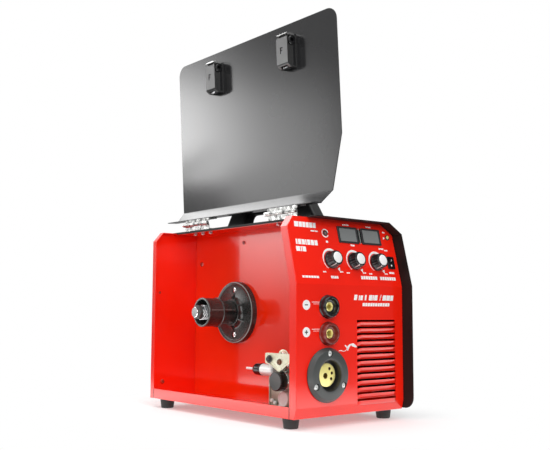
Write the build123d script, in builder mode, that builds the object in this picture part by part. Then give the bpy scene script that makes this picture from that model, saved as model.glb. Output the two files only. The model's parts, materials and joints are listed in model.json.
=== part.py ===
from build123d import *
import math
import os

# A compact MIG welding machine, its side lid open. Millimetres, +Z up, origin on the floor under the
# middle of the case. The front faces -Y, the wire compartment opens towards -X.

# Case
FOOT_HEIGHT = 16.5
SHEET = 1.5
LEFT_X = -120.0
RIGHT_X = 120.0
FRONT_Y = -206.5
REAR_Y = 206.5
BASE_Z = FOOT_HEIGHT
TOP_Z = BASE_Z + 310.7
BEND_Z = BASE_Z + 202.6
LEAN_SLOPE = 26.4 / 108.1
LEAN_ANGLE = math.degrees(math.atan(LEAN_SLOPE))
CHAMFER_Z = BASE_Z + 291.5
CHAMFER_WIDTH = 17.0
HOOD = 21.0
FRONT_RETURN = 16.0
REAR_RETURN = 12.0
BEVEL_HEIGHT = 16.0
BEVEL_SETBACK = 4.0
PANEL_TOP = TOP_Z - SHEET - 0.1
PANEL_RIGHT = RIGHT_X - SHEET - 0.3
FLOOR_Z = BASE_Z + SHEET
FLOOR_TOP = FLOOR_Z + SHEET
RAIL_HEIGHT = 17.3
PARTITION_X = -21.1
COVER_LEFT = -75.0
COVER_SCREW_YS = (-198.5, -60.0, 60.0, 200.5)
FOOT_XS = (-102.7, 102.7)
FOOT_YS = (-174.8, 172.9)
HANDLE_X = (-8.0, 18.0)
HANDLE_HEIGHT = 46.0
COVER_CHAMFER = (94.0, TOP_Z - 18.5)

# Front panel fittings
EURO = (-57.1, 79.9)
MINUS_SOCKET = (-55.2, 184.5)
PLUS_SOCKET = (-55.2, 143.2)
VENT_CENTRE = (54.4, 99.5)
VENT_PITCH = 10.37
VENT_COUNT = 13
VENT_WIDTH = 90.0
VENT_GAP = 4.4
EURO_REAR_Y = -182.0
EURO_NECK_R = 12.0
EURO_SCREW_R = 33.0
EURO_BORE_R = 4.6
SOCKET_R = 7.8
SOCKET_BORE_R = 4.5
DIAL_XS = (-38.2, 13.7, 65.6)
DIAL_Z = 258.3
DISPLAY_XS = (9.3, 62.7)
DISPLAY_Z = 301.4
WINDOW_SIZE = (40.0, 23.0)
ROCKER_TILT = 12.0
FAULT_LAMP = (-41.3, 301.6)
POWER_LAMP = (103.6, 302.9)
MODE_SWITCH = (100.4, 259.1)

# Lid and hinges
HINGE_X = -78.0
HINGE_Z = TOP_Z + 11.0
OPEN_ANGLE = 176.74
LID_GAP = 0.4
LID_BOTTOM = BASE_Z - 2.5
LID_FRONT_Y = -226.2
LID_REAR_Y = 227.5
LID_CORNER = 21.0
HINGE_YS = (-119.0, 126.0)
HINGE_LENGTH = 76.0
KNUCKLE_R = 3.6
PIN_R = 2.0
HINGE_SCREW_X = -60.5
HINGE_SCREW_R = 2.0
LATCH_YS = (-114.0, 94.0)
LATCH_Z = (38.5, 93.5)
LATCH_WIDTH = 28.0
LATCH_DEPTH = 20.5
LATCH_TRAVEL = 8.0

# Spool hub
HUB_Y = 68.0
HUB_Z = 175.1
HUB_AXIS = Axis((0, HUB_Y, HUB_Z), (1, 0, 0))
HUB_FLANGE_R = 56.0
HUB_BARREL_R = 25.3
HUB_SHAFT_R = 6.0
RUNNING_GAP = 0.06
HUB_SCREW_R = 40.5
HUB_END_X = -102.2
HUB_STEP_X = -70.0
HUB_CUP_X = -78.0
HUB_SPRING_R = 9.5

# Wire feeder
WIRE_X = -57.1
WIRE_Z = 79.9
ROLL_Y = -107.0
ROLL_R = 15.0
ROLL_GAP = 0.8
PLATE_X = -50.0
DRIVE_Z = WIRE_Z - ROLL_GAP / 2 - ROLL_R
PRESSURE_Z = WIRE_Z + ROLL_GAP / 2 + ROLL_R
ARM_PIVOT = (-81.5, 99.0)
ARM_FACE_X = -68.5
MOTOR_R = 23.0
SHAFT_R = 4.0
INLET_YS = (-77.0, -51.0, -31.0)
LOWER_BOSS = (-106.0, 35.5)
MOTOR_HOLE_R = MOTOR_R + 1.0

# Rear panel fittings
FAN = (52.0, 120.0)
FAN_SHAFT_R = 3.0
FAN_BLADES = 7
MAINS_SWITCH = (60.0, 250.0)
GAS_INLET = (2.0, 262.0)
GAS_PIN_R = 4.5
CABLE_GLAND = (96.0, 205.0)
GLAND_BORE_R = 5.5

os.makedirs("parts", exist_ok=True)


def save(piece, name):
    """Label a finished piece and write its file."""
    piece.part.label = name
    export_step(piece.part, f"parts/{name}.step")


def front_y(z):
    """The front face's place at height z: upright below the bend and leaning back above it."""
    return FRONT_Y + max(0.0, z - BEND_Z) * LEAN_SLOPE


def front_plane():
    """The lower front face, with X across and Z up, facing out."""
    return Plane.XZ.offset(-FRONT_Y)


def rear_plane():
    """The rear face, facing out, with -X across and Z up."""
    return Plane(origin=(0, REAR_Y, 0), x_dir=(-1, 0, 0), z_dir=(0, 1, 0))


def lean_plane(x, z):
    """The leaning front face with its origin at x and height z, facing out."""
    tilt = math.radians(LEAN_ANGLE)
    return Plane(origin=(x, front_y(z), z), x_dir=(1, 0, 0), z_dir=(0, -math.cos(tilt), math.sin(tilt)))


def opened(plane):
    """A plane of the closed lid, turned about the hinge to where the open lid has it."""
    there = Location((HINGE_X, 0, HINGE_Z))
    return Plane(there * Location((0, 0, 0), (0, OPEN_ANGLE, 0)) * there.inverse() * plane.location)


def side_plane(y):
    """An upright plane across the case at y, with X across and Z up, facing the front."""
    return Plane.XZ.offset(-y)


def across_plane(x):
    """An upright plane along the case at x, with Y along and Z up, facing +X."""
    return Plane.YZ.offset(x)


def hinge_screw_places(z):
    """Where the six hinge screws pass height z."""
    return [(HINGE_SCREW_X, y + step, z) for y in HINGE_YS for step in (-25, 0, 25)]


def sheet(points, thickness):
    """The closed outline of a bent sheet: points run along one face, and the other is on their right."""
    count = len(points)
    normals = []
    for (ax, ay), (bx, by) in zip(points, points[1:]):
        length = math.hypot(bx - ax, by - ay)
        normals.append(((by - ay) / length, -(bx - ax) / length))
    other = []
    for index, (x, y) in enumerate(points):
        first = normals[max(index - 1, 0)]
        second = normals[min(index, count - 2)]
        scale = thickness / (1 + first[0] * second[0] + first[1] * second[1])
        other.append((x + (first[0] + second[0]) * scale, y + (first[1] + second[1]) * scale))
    return list(points) + other[::-1]


def panel_corners():
    """The end panels' corners, as X and Z: chamfered at the open side's top and under the cover."""
    shoulder = LEFT_X + CHAMFER_WIDTH * (PANEL_TOP - CHAMFER_Z) / (TOP_Z - CHAMFER_Z)
    return [
        (LEFT_X, BASE_Z),
        (PANEL_RIGHT, BASE_Z),
        (PANEL_RIGHT, COVER_CHAMFER[1] - 1.2),
        (COVER_CHAMFER[0] - 1.1, PANEL_TOP),
        (shoulder, PANEL_TOP),
        (LEFT_X, CHAMFER_Z),
    ]


def front_block(inset, depth):
    """The front panel's outer shape with every face moved in by inset, depth deep."""
    top = PANEL_TOP - inset
    with BuildPart() as block:
        with BuildSketch(across_plane(LEFT_X)):
            with BuildLine():
                Polyline(
                    (FRONT_Y + BEVEL_SETBACK + inset, BASE_Z + inset),
                    (FRONT_Y + inset, BASE_Z + BEVEL_HEIGHT),
                    (FRONT_Y + inset, BEND_Z),
                    (front_y(top) + inset, top),
                    (front_y(top) + depth, top),
                    (FRONT_Y + depth, BEND_Z),
                    (FRONT_Y + depth, BASE_Z + inset),
                    close=True,
                )
            make_face()
        extrude(amount=RIGHT_X - LEFT_X)
        with BuildSketch(Plane.XZ):
            with BuildLine():
                Polyline(*panel_corners(), close=True)
            make_face()
            if inset:
                offset(amount=-inset, kind=Kind.INTERSECTION)
        extrude(amount=REAR_Y * 2, both=True, mode=Mode.INTERSECT)
    return block.part


def vent_edges():
    """The heights of the louvres' lower edges."""
    lowest = VENT_CENTRE[1] - VENT_PITCH * (VENT_COUNT - 1) / 2 - VENT_GAP / 2
    return [lowest + VENT_PITCH * row for row in range(VENT_COUNT)]


def front_panel():
    """A folded tray with louvres below and a leaning control face above."""
    outer = front_block(0, FRONT_RETURN)
    pocket = front_block(SHEET, FRONT_RETURN + 5)
    with BuildPart() as panel:
        add(outer)
        add(pocket, mode=Mode.SUBTRACT)
        with BuildSketch(front_plane()):
            with Locations(EURO):
                Circle(26.0)
            with Locations(MINUS_SOCKET, PLUS_SOCKET):
                Circle(13.0)
            with Locations(VENT_CENTRE):
                with GridLocations(1, VENT_PITCH, 1, VENT_COUNT):
                    Rectangle(VENT_WIDTH, VENT_GAP)
        extrude(amount=-5, mode=Mode.SUBTRACT)
        with BuildSketch(across_plane(VENT_CENTRE[0] - VENT_WIDTH / 2)):
            for z in vent_edges():
                with BuildLine():
                    Polyline(
                        (FRONT_Y + 0.2, z - 0.6),
                        (FRONT_Y - 2.6, z),
                        (FRONT_Y - 2.9, z - 0.8),
                        (FRONT_Y - 2.2, z - 2.6),
                        (FRONT_Y + 0.2, z - 5.2),
                        close=True,
                    )
                make_face()
        extrude(amount=VENT_WIDTH)
        with BuildSketch(lean_plane(0, DIAL_Z)):
            with Locations(*[(x, 0) for x in DIAL_XS]):
                Circle(4.0)
        extrude(amount=-5, mode=Mode.SUBTRACT)
        with BuildSketch(lean_plane(sum(DISPLAY_XS) / 2, DISPLAY_Z)):
            Rectangle(95, 23)
        extrude(amount=-5, mode=Mode.SUBTRACT)
        with BuildSketch(lean_plane(*MODE_SWITCH)):
            Rectangle(13.4, 18.4)
        extrude(amount=-5, mode=Mode.SUBTRACT)
        with BuildSketch(lean_plane(*FAULT_LAMP)):
            Circle(3.2)
        extrude(amount=-5, mode=Mode.SUBTRACT)
        with BuildSketch(lean_plane(*POWER_LAMP)):
            Circle(3.2)
        extrude(amount=-5, mode=Mode.SUBTRACT)
    save(panel, "front_panel")


def rear_block(inset, depth):
    """The rear panel's outer shape with every face moved in by inset, depth deep."""
    with BuildPart() as block:
        with BuildSketch(side_plane(REAR_Y - inset)):
            with BuildLine():
                Polyline(*panel_corners(), close=True)
            make_face()
            if inset:
                offset(amount=-inset, kind=Kind.INTERSECTION)
        extrude(amount=depth - inset)
    return block.part


def rear_panel():
    """A shallow folded tray that also closes the back of the wire compartment."""
    outer = rear_block(0, REAR_RETURN)
    pocket = rear_block(SHEET, REAR_RETURN + 5)
    with BuildPart() as panel:
        add(outer)
        add(pocket, mode=Mode.SUBTRACT)
        with BuildSketch(side_plane(REAR_Y)):
            with Locations(FAN):
                Circle(43.0)
            with Locations(MAINS_SWITCH):
                Rectangle(22.4, 28.4)
            with Locations(GAS_INLET):
                Circle(5.2)
            with Locations(CABLE_GLAND):
                Circle(9.2)
        extrude(amount=5, mode=Mode.SUBTRACT)
    save(panel, "rear_panel")


def base_tray():
    """The floor with a rail along the open side and a fixing flange on the other."""
    front = FRONT_Y + BEVEL_SETBACK + SHEET + 0.3
    rear = REAR_Y - SHEET - 0.3
    flange_front = FRONT_Y + FRONT_RETURN + 0.1
    flange_rear = REAR_Y - REAR_RETURN - 0.1
    middle = (flange_front + flange_rear) / 2
    span = flange_rear - flange_front
    with BuildPart() as tray:
        with BuildSketch(Plane.XY.offset(FLOOR_Z)):
            with BuildLine():
                Polyline(
                    (LEFT_X + SHEET, front),
                    (PANEL_RIGHT - SHEET, front),
                    (PANEL_RIGHT - SHEET, rear),
                    (LEFT_X + SHEET, rear),
                    close=True,
                )
            make_face()
        extrude(amount=SHEET)
        with BuildSketch(Plane.XY.offset(BASE_Z)):
            with Locations((LEFT_X + SHEET / 2, middle)):
                Rectangle(SHEET, span)
        extrude(amount=RAIL_HEIGHT)
        with BuildSketch(Plane.XY.offset(FLOOR_Z)):
            with Locations((PANEL_RIGHT - SHEET / 2, middle)):
                Rectangle(SHEET, span)
        extrude(amount=RAIL_HEIGHT + 5)
        with Locations(*[(x, y, FLOOR_Z) for x in FOOT_XS for y in FOOT_YS]):
            Hole(2.6, depth=10, mode=Mode.SUBTRACT)
    save(tray, "base_tray")


def rubber_feet():
    """Four tapered feet, each with a recess below for its screw."""
    with BuildPart() as feet:
        with Locations(*[(x, y, 0) for x in FOOT_XS for y in FOOT_YS]):
            Cone(11.3, 13.4, FLOOR_Z, align=(Align.CENTER, Align.CENTER, Align.MIN))
            Cylinder(2.8, FLOOR_Z, align=(Align.CENTER, Align.CENTER, Align.MIN), mode=Mode.SUBTRACT)
            Cylinder(5.5, 9.0, align=(Align.CENTER, Align.CENTER, Align.MIN), mode=Mode.SUBTRACT)
    save(feet, "rubber_feet")


def foot_screws():
    """Four screws up through the feet into the floor."""
    with BuildPart() as screws:
        with Locations(*[(x, y, 0) for x in FOOT_XS for y in FOOT_YS]):
            with Locations((0, 0, 6.0)):
                Cylinder(4.5, 3.0, align=(Align.CENTER, Align.CENTER, Align.MIN))
            with Locations((0, 0, 9.0)):
                Cylinder(2.5, 14.5, align=(Align.CENTER, Align.CENTER, Align.MIN))
    save(screws, "foot_screws")


def partition_wall():
    """The upright wall behind the spool, with a ceiling folded over the compartment."""
    ceiling_top = PANEL_TOP - SHEET
    front = FRONT_Y + SHEET + 0.6
    rear = REAR_Y - SHEET - 0.4
    with BuildPart() as wall:
        with BuildSketch(across_plane(PARTITION_X)):
            with BuildLine():
                Polyline(
                    (front + BEVEL_SETBACK, FLOOR_TOP),
                    (front, BASE_Z + BEVEL_HEIGHT + 4),
                    (front, BEND_Z),
                    (front_y(ceiling_top) + SHEET + 0.6, ceiling_top),
                    (rear, ceiling_top),
                    (rear, FLOOR_TOP),
                    close=True,
                )
            make_face()
            with Locations((ROLL_Y, DRIVE_Z)):
                Circle(MOTOR_HOLE_R, mode=Mode.SUBTRACT)
            with Locations((HUB_Y, HUB_Z)):
                with PolarLocations(HUB_SCREW_R, 2, start_angle=90):
                    Circle(3.1, mode=Mode.SUBTRACT)
        extrude(amount=SHEET)
        with BuildSketch(Plane.XY.offset(ceiling_top - SHEET)):
            ceiling_front = front_y(ceiling_top) + SHEET + 0.6
            with Locations(((COVER_LEFT + SHEET + 0.2 + PARTITION_X) / 2, (ceiling_front + rear) / 2)):
                Rectangle(PARTITION_X - COVER_LEFT - SHEET - 0.2, rear - ceiling_front)
        extrude(amount=SHEET)
        with Locations(*hinge_screw_places(ceiling_top)):
            Hole(HINGE_SCREW_R + 0.1, depth=SHEET + 1)
        with BuildSketch(Plane.XY.offset(FLOOR_TOP)):
            with Locations((PARTITION_X + SHEET + 6, 0)):
                Rectangle(12, 330)
        extrude(amount=SHEET)
    save(wall, "partition_wall")


def top_side_cover():
    """The folded hood over the top and the closed side, standing proud at both ends."""
    bottom = BASE_Z + 2
    outer_face = [
        (COVER_LEFT, TOP_Z),
        (COVER_CHAMFER[0], TOP_Z),
        (RIGHT_X, COVER_CHAMFER[1]),
        (RIGHT_X, bottom),
    ]
    with BuildPart() as cover:
        with BuildSketch(side_plane(REAR_Y + HOOD)):
            with BuildLine():
                Polyline(*sheet(outer_face, SHEET), close=True)
            make_face()
        extrude(amount=REAR_Y - FRONT_Y + 2 * HOOD)
        with BuildSketch(across_plane(COVER_LEFT - 5)) as side:
            with BuildLine():
                Polyline(
                    (FRONT_Y - HOOD, bottom),
                    (FRONT_Y - HOOD, BEND_Z),
                    (front_y(TOP_Z + 1) - HOOD, TOP_Z + 1),
                    (REAR_Y + HOOD, TOP_Z + 1),
                    (REAR_Y + HOOD, bottom),
                    close=True,
                )
            make_face()
            fillet(side.vertices().group_by(Axis.Y)[0], radius=18)
        extrude(amount=RIGHT_X - COVER_LEFT + 10, mode=Mode.INTERSECT)
        with BuildSketch(side_plane(REAR_Y - REAR_RETURN - 2)):
            with Locations((COVER_LEFT + SHEET / 2, TOP_Z - 2.0)):
                Rectangle(SHEET, 3.5)
        extrude(amount=REAR_Y - REAR_RETURN - 2 - front_y(TOP_Z) - FRONT_RETURN - 2)
        with Locations(*[(RIGHT_X, y, BASE_Z + 13) for y in COVER_SCREW_YS]):
            Cylinder(2.1, 10, rotation=(0, 90, 0), mode=Mode.SUBTRACT)
        with Locations(*hinge_screw_places(TOP_Z)):
            Hole(HINGE_SCREW_R + 0.1, depth=SHEET + 1)
    save(cover, "top_side_cover")


def cover_screws():
    """Screws through the cover's side into the base and the end panels."""
    with BuildPart() as screws:
        for y in COVER_SCREW_YS:
            with BuildSketch(across_plane(RIGHT_X)):
                with Locations((y, BASE_Z + 13)):
                    Circle(4.0)
            extrude(amount=1.8, taper=20)
            with BuildSketch(across_plane(RIGHT_X)):
                with Locations((y, BASE_Z + 13)):
                    Circle(2.0)
            extrude(amount=-SHEET - 0.25)
    save(screws, "cover_screws")


def carry_handle():
    """A moulded grip on two broad sloping feet."""
    with BuildPart() as handle:
        with BuildSketch(across_plane(HANDLE_X[0])) as side:
            with BuildLine():
                Polyline(
                    (-132, TOP_Z),
                    (-101, TOP_Z + HANDLE_HEIGHT),
                    (101, TOP_Z + HANDLE_HEIGHT),
                    (132, TOP_Z),
                    (75, TOP_Z),
                    (66, TOP_Z + 28),
                    (-66, TOP_Z + 28),
                    (-75, TOP_Z),
                    close=True,
                )
            make_face()
            fillet(side.vertices().group_by(Axis.Y)[-1], radius=18)
            fillet(side.vertices().filter_by_position(Axis.Y, TOP_Z + 27, TOP_Z + 29), radius=14)
        extrude(amount=HANDLE_X[1] - HANDLE_X[0])
        long_edges = handle.faces().sort_by(Axis.X)[0].edges() + handle.faces().sort_by(Axis.X)[-1].edges()
        grip = [edge for edge in long_edges if edge.center().Z > TOP_Z + 1]
        fillet(grip, radius=5)
    save(handle, "carry_handle")


def hinge_fixed_leaves():
    """Two leaves screwed to the cover's top, each with a riser up to two knuckles."""
    with BuildPart() as leaves:
        for y in HINGE_YS:
            with BuildSketch(side_plane(y + HINGE_LENGTH / 2)):
                with BuildLine():
                    Polyline(
                        (HINGE_X + 3.4, TOP_Z),
                        (-50, TOP_Z),
                        (-50, TOP_Z + SHEET),
                        (HINGE_X + 3.4 + SHEET, TOP_Z + SHEET),
                        (HINGE_X + 3.4 + SHEET, HINGE_Z - 4.2),
                        (HINGE_X + 3.4, HINGE_Z - 4.2),
                        close=True,
                    )
                make_face()
            extrude(amount=HINGE_LENGTH)
            for end in (-1, 1):
                with BuildSketch(side_plane(y + end * HINGE_LENGTH / 2 + (0 if end > 0 else 25))):
                    with Locations((HINGE_X, HINGE_Z)):
                        Circle(KNUCKLE_R)
                    with BuildLine():
                        Polyline(
                            (HINGE_X + 1.0, HINGE_Z),
                            (HINGE_X + 3.4, HINGE_Z - 4.3),
                            (HINGE_X + 3.4 + SHEET, HINGE_Z - 4.3),
                            (HINGE_X + 3.4, HINGE_Z),
                            close=True,
                        )
                    make_face()
                    with Locations((HINGE_X, HINGE_Z)):
                        Circle(PIN_R + RUNNING_GAP, mode=Mode.SUBTRACT)
                extrude(amount=25)
        with Locations(*hinge_screw_places(TOP_Z + SHEET)):
            Hole(HINGE_SCREW_R + 0.1, depth=SHEET + 1)
    save(leaves, "hinge_fixed_leaves")


def hinge_moving_leaves():
    """Two leaves riveted to the lid's top strip, each with a riser to the middle knuckle."""
    strip = TOP_Z + LID_GAP + SHEET
    with BuildPart() as leaves:
        for y in HINGE_YS:
            with BuildSketch(opened(side_plane(y + HINGE_LENGTH / 2))):
                with BuildLine():
                    Polyline(
                        (HINGE_X - 3.4, strip),
                        (-100, strip),
                        (-100, strip + SHEET),
                        (HINGE_X - 3.4 - SHEET, strip + SHEET),
                        (HINGE_X - 3.4 - SHEET, HINGE_Z - 4.2),
                        (HINGE_X - 3.4, HINGE_Z - 4.2),
                        close=True,
                    )
                make_face()
            extrude(amount=HINGE_LENGTH)
            with BuildSketch(opened(side_plane(y + 12.7))):
                with Locations((HINGE_X, HINGE_Z)):
                    Circle(KNUCKLE_R)
                with BuildLine():
                    Polyline(
                        (HINGE_X - 1.0, HINGE_Z),
                        (HINGE_X - 3.4, HINGE_Z - 4.3),
                        (HINGE_X - 3.4 - SHEET, HINGE_Z - 4.3),
                        (HINGE_X - 3.4, HINGE_Z),
                        close=True,
                    )
                make_face()
                with Locations((HINGE_X, HINGE_Z)):
                    Circle(PIN_R + RUNNING_GAP, mode=Mode.SUBTRACT)
            extrude(amount=25.4)
    save(leaves, "hinge_moving_leaves")


def hinge_pins():
    """A headed pin through each hinge's knuckles."""
    with BuildPart() as pins:
        for y in HINGE_YS:
            with BuildSketch(side_plane(y + HINGE_LENGTH / 2 + 0.2)):
                with Locations((HINGE_X, HINGE_Z)):
                    Circle(PIN_R)
            extrude(amount=HINGE_LENGTH + 1.5)
            with BuildSketch(side_plane(y + HINGE_LENGTH / 2 + 1.6)):
                with Locations((HINGE_X, HINGE_Z)):
                    Circle(KNUCKLE_R - 0.4)
            extrude(amount=1.4)
    save(pins, "hinge_pins")


def hinge_screws():
    """Screws down through the fixed leaves, their tips showing under the ceiling."""
    with BuildPart() as screws:
        with Locations(*hinge_screw_places(TOP_Z + SHEET)):
            Cylinder(3.6, 1.6, align=(Align.CENTER, Align.CENTER, Align.MIN))
            Cylinder(HINGE_SCREW_R, 9.5, align=(Align.CENTER, Align.CENTER, Align.MAX))
    save(screws, "hinge_screws")


def lid_panel():
    """The bent lid: top strip, chamfer strip and flat side, standing open over the case."""
    inside = [
        (HINGE_X - 4.0, TOP_Z + LID_GAP),
        (LEFT_X + CHAMFER_WIDTH - 0.2, TOP_Z + LID_GAP),
        (LEFT_X - LID_GAP, CHAMFER_Z + 0.2),
        (LEFT_X - LID_GAP, LID_BOTTOM),
    ]
    with BuildPart() as lid:
        with BuildSketch(opened(side_plane(LID_REAR_Y))):
            with BuildLine():
                Polyline(*sheet(inside, SHEET), close=True)
            make_face()
        extrude(amount=LID_REAR_Y - LID_FRONT_Y)
        with BuildSketch(opened(across_plane(LEFT_X - 10))) as side:
            with BuildLine():
                Polyline(
                    (LID_FRONT_Y, LID_BOTTOM),
                    (LID_FRONT_Y, BASE_Z + 204.0),
                    (-200.6, CHAMFER_Z),
                    (-190.8, TOP_Z),
                    (-190.8, TOP_Z + 5),
                    (LID_REAR_Y, TOP_Z + 5),
                    (LID_REAR_Y, LID_BOTTOM),
                    close=True,
                )
            make_face()
            fillet(side.vertices().group_by(Axis.Y)[0], radius=LID_CORNER)
        extrude(amount=60, mode=Mode.INTERSECT)
    save(lid, "lid_panel")


def latch_housings():
    """Two latch boxes inside the lid near its free edge, each with a slot for its slide."""
    with BuildPart() as housings:
        for y in LATCH_YS:
            with BuildSketch(opened(across_plane(LEFT_X - LID_GAP))):
                with Locations((y, sum(LATCH_Z) / 2)):
                    Rectangle(LATCH_WIDTH, LATCH_Z[1] - LATCH_Z[0])
            extrude(amount=LATCH_DEPTH)
            with BuildSketch(opened(across_plane(LEFT_X + 1.6))):
                with Locations((y, LATCH_Z[0] + 22)):
                    Rectangle(17, 44)
            extrude(amount=4.2, mode=Mode.SUBTRACT)
            with BuildSketch(opened(across_plane(LEFT_X + 8))):
                with Locations((y, LATCH_Z[0] + 8)):
                    Rectangle(LATCH_WIDTH + 1, 8)
            extrude(amount=5, mode=Mode.SUBTRACT)
    save(housings, "latch_housings")


def latch_slide(y, name):
    """A bright bolt: a tongue inside the housing and a thumb lip across its end."""
    with BuildPart() as slide:
        with BuildSketch(opened(across_plane(LEFT_X + 2.2))):
            with Locations((y, LATCH_Z[0] + 15)):
                Rectangle(16, 38)
        extrude(amount=3.0)
        with BuildSketch(opened(across_plane(LEFT_X + 2.2))):
            with Locations((y, LATCH_Z[0] - 2.1)):
                Rectangle(24, 3.8)
        extrude(amount=LATCH_DEPTH - 2.8)
    save(slide, name)


def hub_plane():
    """The plane through the hub's axis, with X along the axis and the radius up."""
    return Plane(origin=(0, HUB_Y, HUB_Z), x_dir=(1, 0, 0), z_dir=(0, -1, 0))


def hub_flange():
    """The spool hub's mounting flange with a short neck."""
    with BuildPart() as flange:
        with BuildSketch(hub_plane()):
            with BuildLine():
                Polyline(
                    (PARTITION_X, HUB_SHAFT_R),
                    (PARTITION_X, HUB_FLANGE_R),
                    (PARTITION_X - 9.0, HUB_FLANGE_R),
                    (PARTITION_X - 10.5, HUB_FLANGE_R - 1.2),
                    (PARTITION_X - 10.5, HUB_FLANGE_R - 5),
                    (PARTITION_X - 9.2, HUB_FLANGE_R - 7),
                    (PARTITION_X - 9.2, 30),
                    (PARTITION_X - 12.0, 25),
                    (PARTITION_X - 18.0, 22),
                    (PARTITION_X - 18.0, HUB_SHAFT_R),
                    close=True,
                )
            make_face()
        revolve(axis=HUB_AXIS)
        with BuildSketch(across_plane(PARTITION_X)):
            with Locations((HUB_Y, HUB_Z)):
                with PolarLocations(HUB_SCREW_R, 2, start_angle=90):
                    Circle(3.1)
        extrude(amount=-12, mode=Mode.SUBTRACT)
        with BuildSketch(across_plane(PARTITION_X - 5.2)):
            with Locations((HUB_Y, HUB_Z)):
                with PolarLocations(HUB_SCREW_R, 2, start_angle=90):
                    Circle(5.6)
        extrude(amount=-8, mode=Mode.SUBTRACT)
    save(flange, "hub_flange")


def hub_spindle():
    """The fixed shaft that the barrel turns on, threaded at its end for the brake nut."""
    with BuildPart() as spindle:
        with BuildSketch(hub_plane()):
            with BuildLine():
                Polyline(
                    (PARTITION_X, 0),
                    (PARTITION_X, HUB_SHAFT_R),
                    (HUB_END_X - 9, HUB_SHAFT_R),
                    (HUB_END_X - 10, HUB_SHAFT_R - 1),
                    (HUB_END_X - 10, 0),
                    close=True,
                )
            make_face()
        revolve(axis=HUB_AXIS)
    save(spindle, "hub_spindle")


def hub_barrel():
    """The turning sleeve that carries the wire spool, open like a cup at its outer end."""
    back = PARTITION_X - 18.4
    with BuildPart() as barrel:
        with BuildSketch(hub_plane()):
            with BuildLine():
                Polyline(
                    (back, HUB_SHAFT_R + RUNNING_GAP),
                    (back, 21.5),
                    (HUB_STEP_X + 3, 21.5),
                    (HUB_STEP_X, HUB_BARREL_R),
                    (HUB_END_X + 1.5, HUB_BARREL_R),
                    (HUB_END_X, HUB_BARREL_R - 1.2),
                    (HUB_END_X, HUB_BARREL_R - 3.2),
                    (HUB_CUP_X, HUB_BARREL_R - 4.5),
                    (HUB_CUP_X, HUB_SHAFT_R + RUNNING_GAP),
                    close=True,
                )
            make_face()
        revolve(axis=HUB_AXIS)
        with BuildSketch(across_plane(back)):
            with Locations((HUB_Y, HUB_Z)):
                with PolarLocations(14.5, 4, start_angle=45):
                    Circle(4.6)
        extrude(amount=-14, mode=Mode.SUBTRACT)
    save(barrel, "hub_barrel")


def hub_spring():
    """The brake spring wound around the spindle inside the barrel's cup."""
    turns = 5
    start = HUB_CUP_X - 1.6
    length = start - (HUB_END_X - 2.2)
    with BuildPart() as spring:
        with BuildLine() as path:
            Helix(length / turns, length, HUB_SPRING_R, center=(start, HUB_Y, HUB_Z), direction=(-1, 0, 0))
        with BuildSketch(Plane(origin=path.line @ 0, z_dir=path.line % 0)):
            Circle(1.1)
        sweep(is_frenet=True)
    save(spring, "hub_spring")


def hub_adjuster_nut():
    """The hand nut on the spindle's end that sets the spool brake."""
    with BuildPart() as nut:
        with BuildSketch(hub_plane()):
            with BuildLine():
                Polyline(
                    (HUB_END_X - 4.0, HUB_SHAFT_R + RUNNING_GAP),
                    (HUB_END_X - 4.0, 14.5),
                    (HUB_END_X - 11.0, 14.5),
                    (HUB_END_X - 13.0, 9.5),
                    (HUB_END_X - 15.0, 9.0),
                    (HUB_END_X - 15.0, 0),
                    (HUB_END_X - 10.4, 0),
                    (HUB_END_X - 10.4, HUB_SHAFT_R + RUNNING_GAP),
                    close=True,
                )
            make_face()
        revolve(axis=HUB_AXIS)
        with BuildSketch(across_plane(HUB_END_X - 4.0)):
            with Locations((HUB_Y, HUB_Z)):
                with PolarLocations(15.3, 12):
                    Circle(1.6)
        extrude(amount=-8, mode=Mode.SUBTRACT)
    save(nut, "hub_adjuster_nut")


def feeder_plate():
    """The cast feeder frame: an upright plate with a foot, the wire inlet boss and the arm's pivot."""
    with BuildPart() as plate:
        with BuildSketch(across_plane(PLATE_X)):
            with Locations((-121, (FLOOR_TOP + 104.5) / 2)):
                Rectangle(122, 104.5 - FLOOR_TOP)
        extrude(amount=3)
        with BuildSketch(Plane.XY.offset(FLOOR_TOP)):
            with Locations((PLATE_X - 9, -121)):
                Rectangle(18, 122)
        extrude(amount=2.5)
        with BuildSketch(side_plane(INLET_YS[1])):
            with Locations((WIRE_X, WIRE_Z)):
                Circle(10)
        extrude(amount=INLET_YS[1] - INLET_YS[0])
        with BuildSketch(across_plane(PLATE_X)):
            with Locations(LOWER_BOSS):
                Circle(13)
        extrude(amount=-11)
        with BuildSketch(across_plane(PLATE_X)):
            with Locations(ARM_PIVOT):
                Circle(3.0)
        extrude(amount=-22)
        with BuildSketch(side_plane(INLET_YS[1] + 1)):
            with Locations((WIRE_X, WIRE_Z)):
                Circle(2.1)
        extrude(amount=INLET_YS[1] - INLET_YS[0] + 2, mode=Mode.SUBTRACT)
        with BuildSketch(across_plane(PLATE_X)):
            with Locations((ROLL_Y, DRIVE_Z)):
                Circle(SHAFT_R + 1)
        extrude(amount=3, mode=Mode.SUBTRACT)
    save(plate, "feeder_plate")


def inlet_collar():
    """The black collar that grips the wire liner at the feeder's inlet."""
    with BuildPart() as collar:
        with BuildSketch(side_plane(INLET_YS[2])):
            with Locations((WIRE_X, WIRE_Z)):
                Circle(10.0)
                Circle(2.1, mode=Mode.SUBTRACT)
        extrude(amount=INLET_YS[2] - INLET_YS[1])
        rims = collar.faces().sort_by(Axis.Y)[-1].edges().sort_by(SortBy.LENGTH)[-1]
        chamfer(rims, 1.2)
    save(collar, "inlet_collar")


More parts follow.
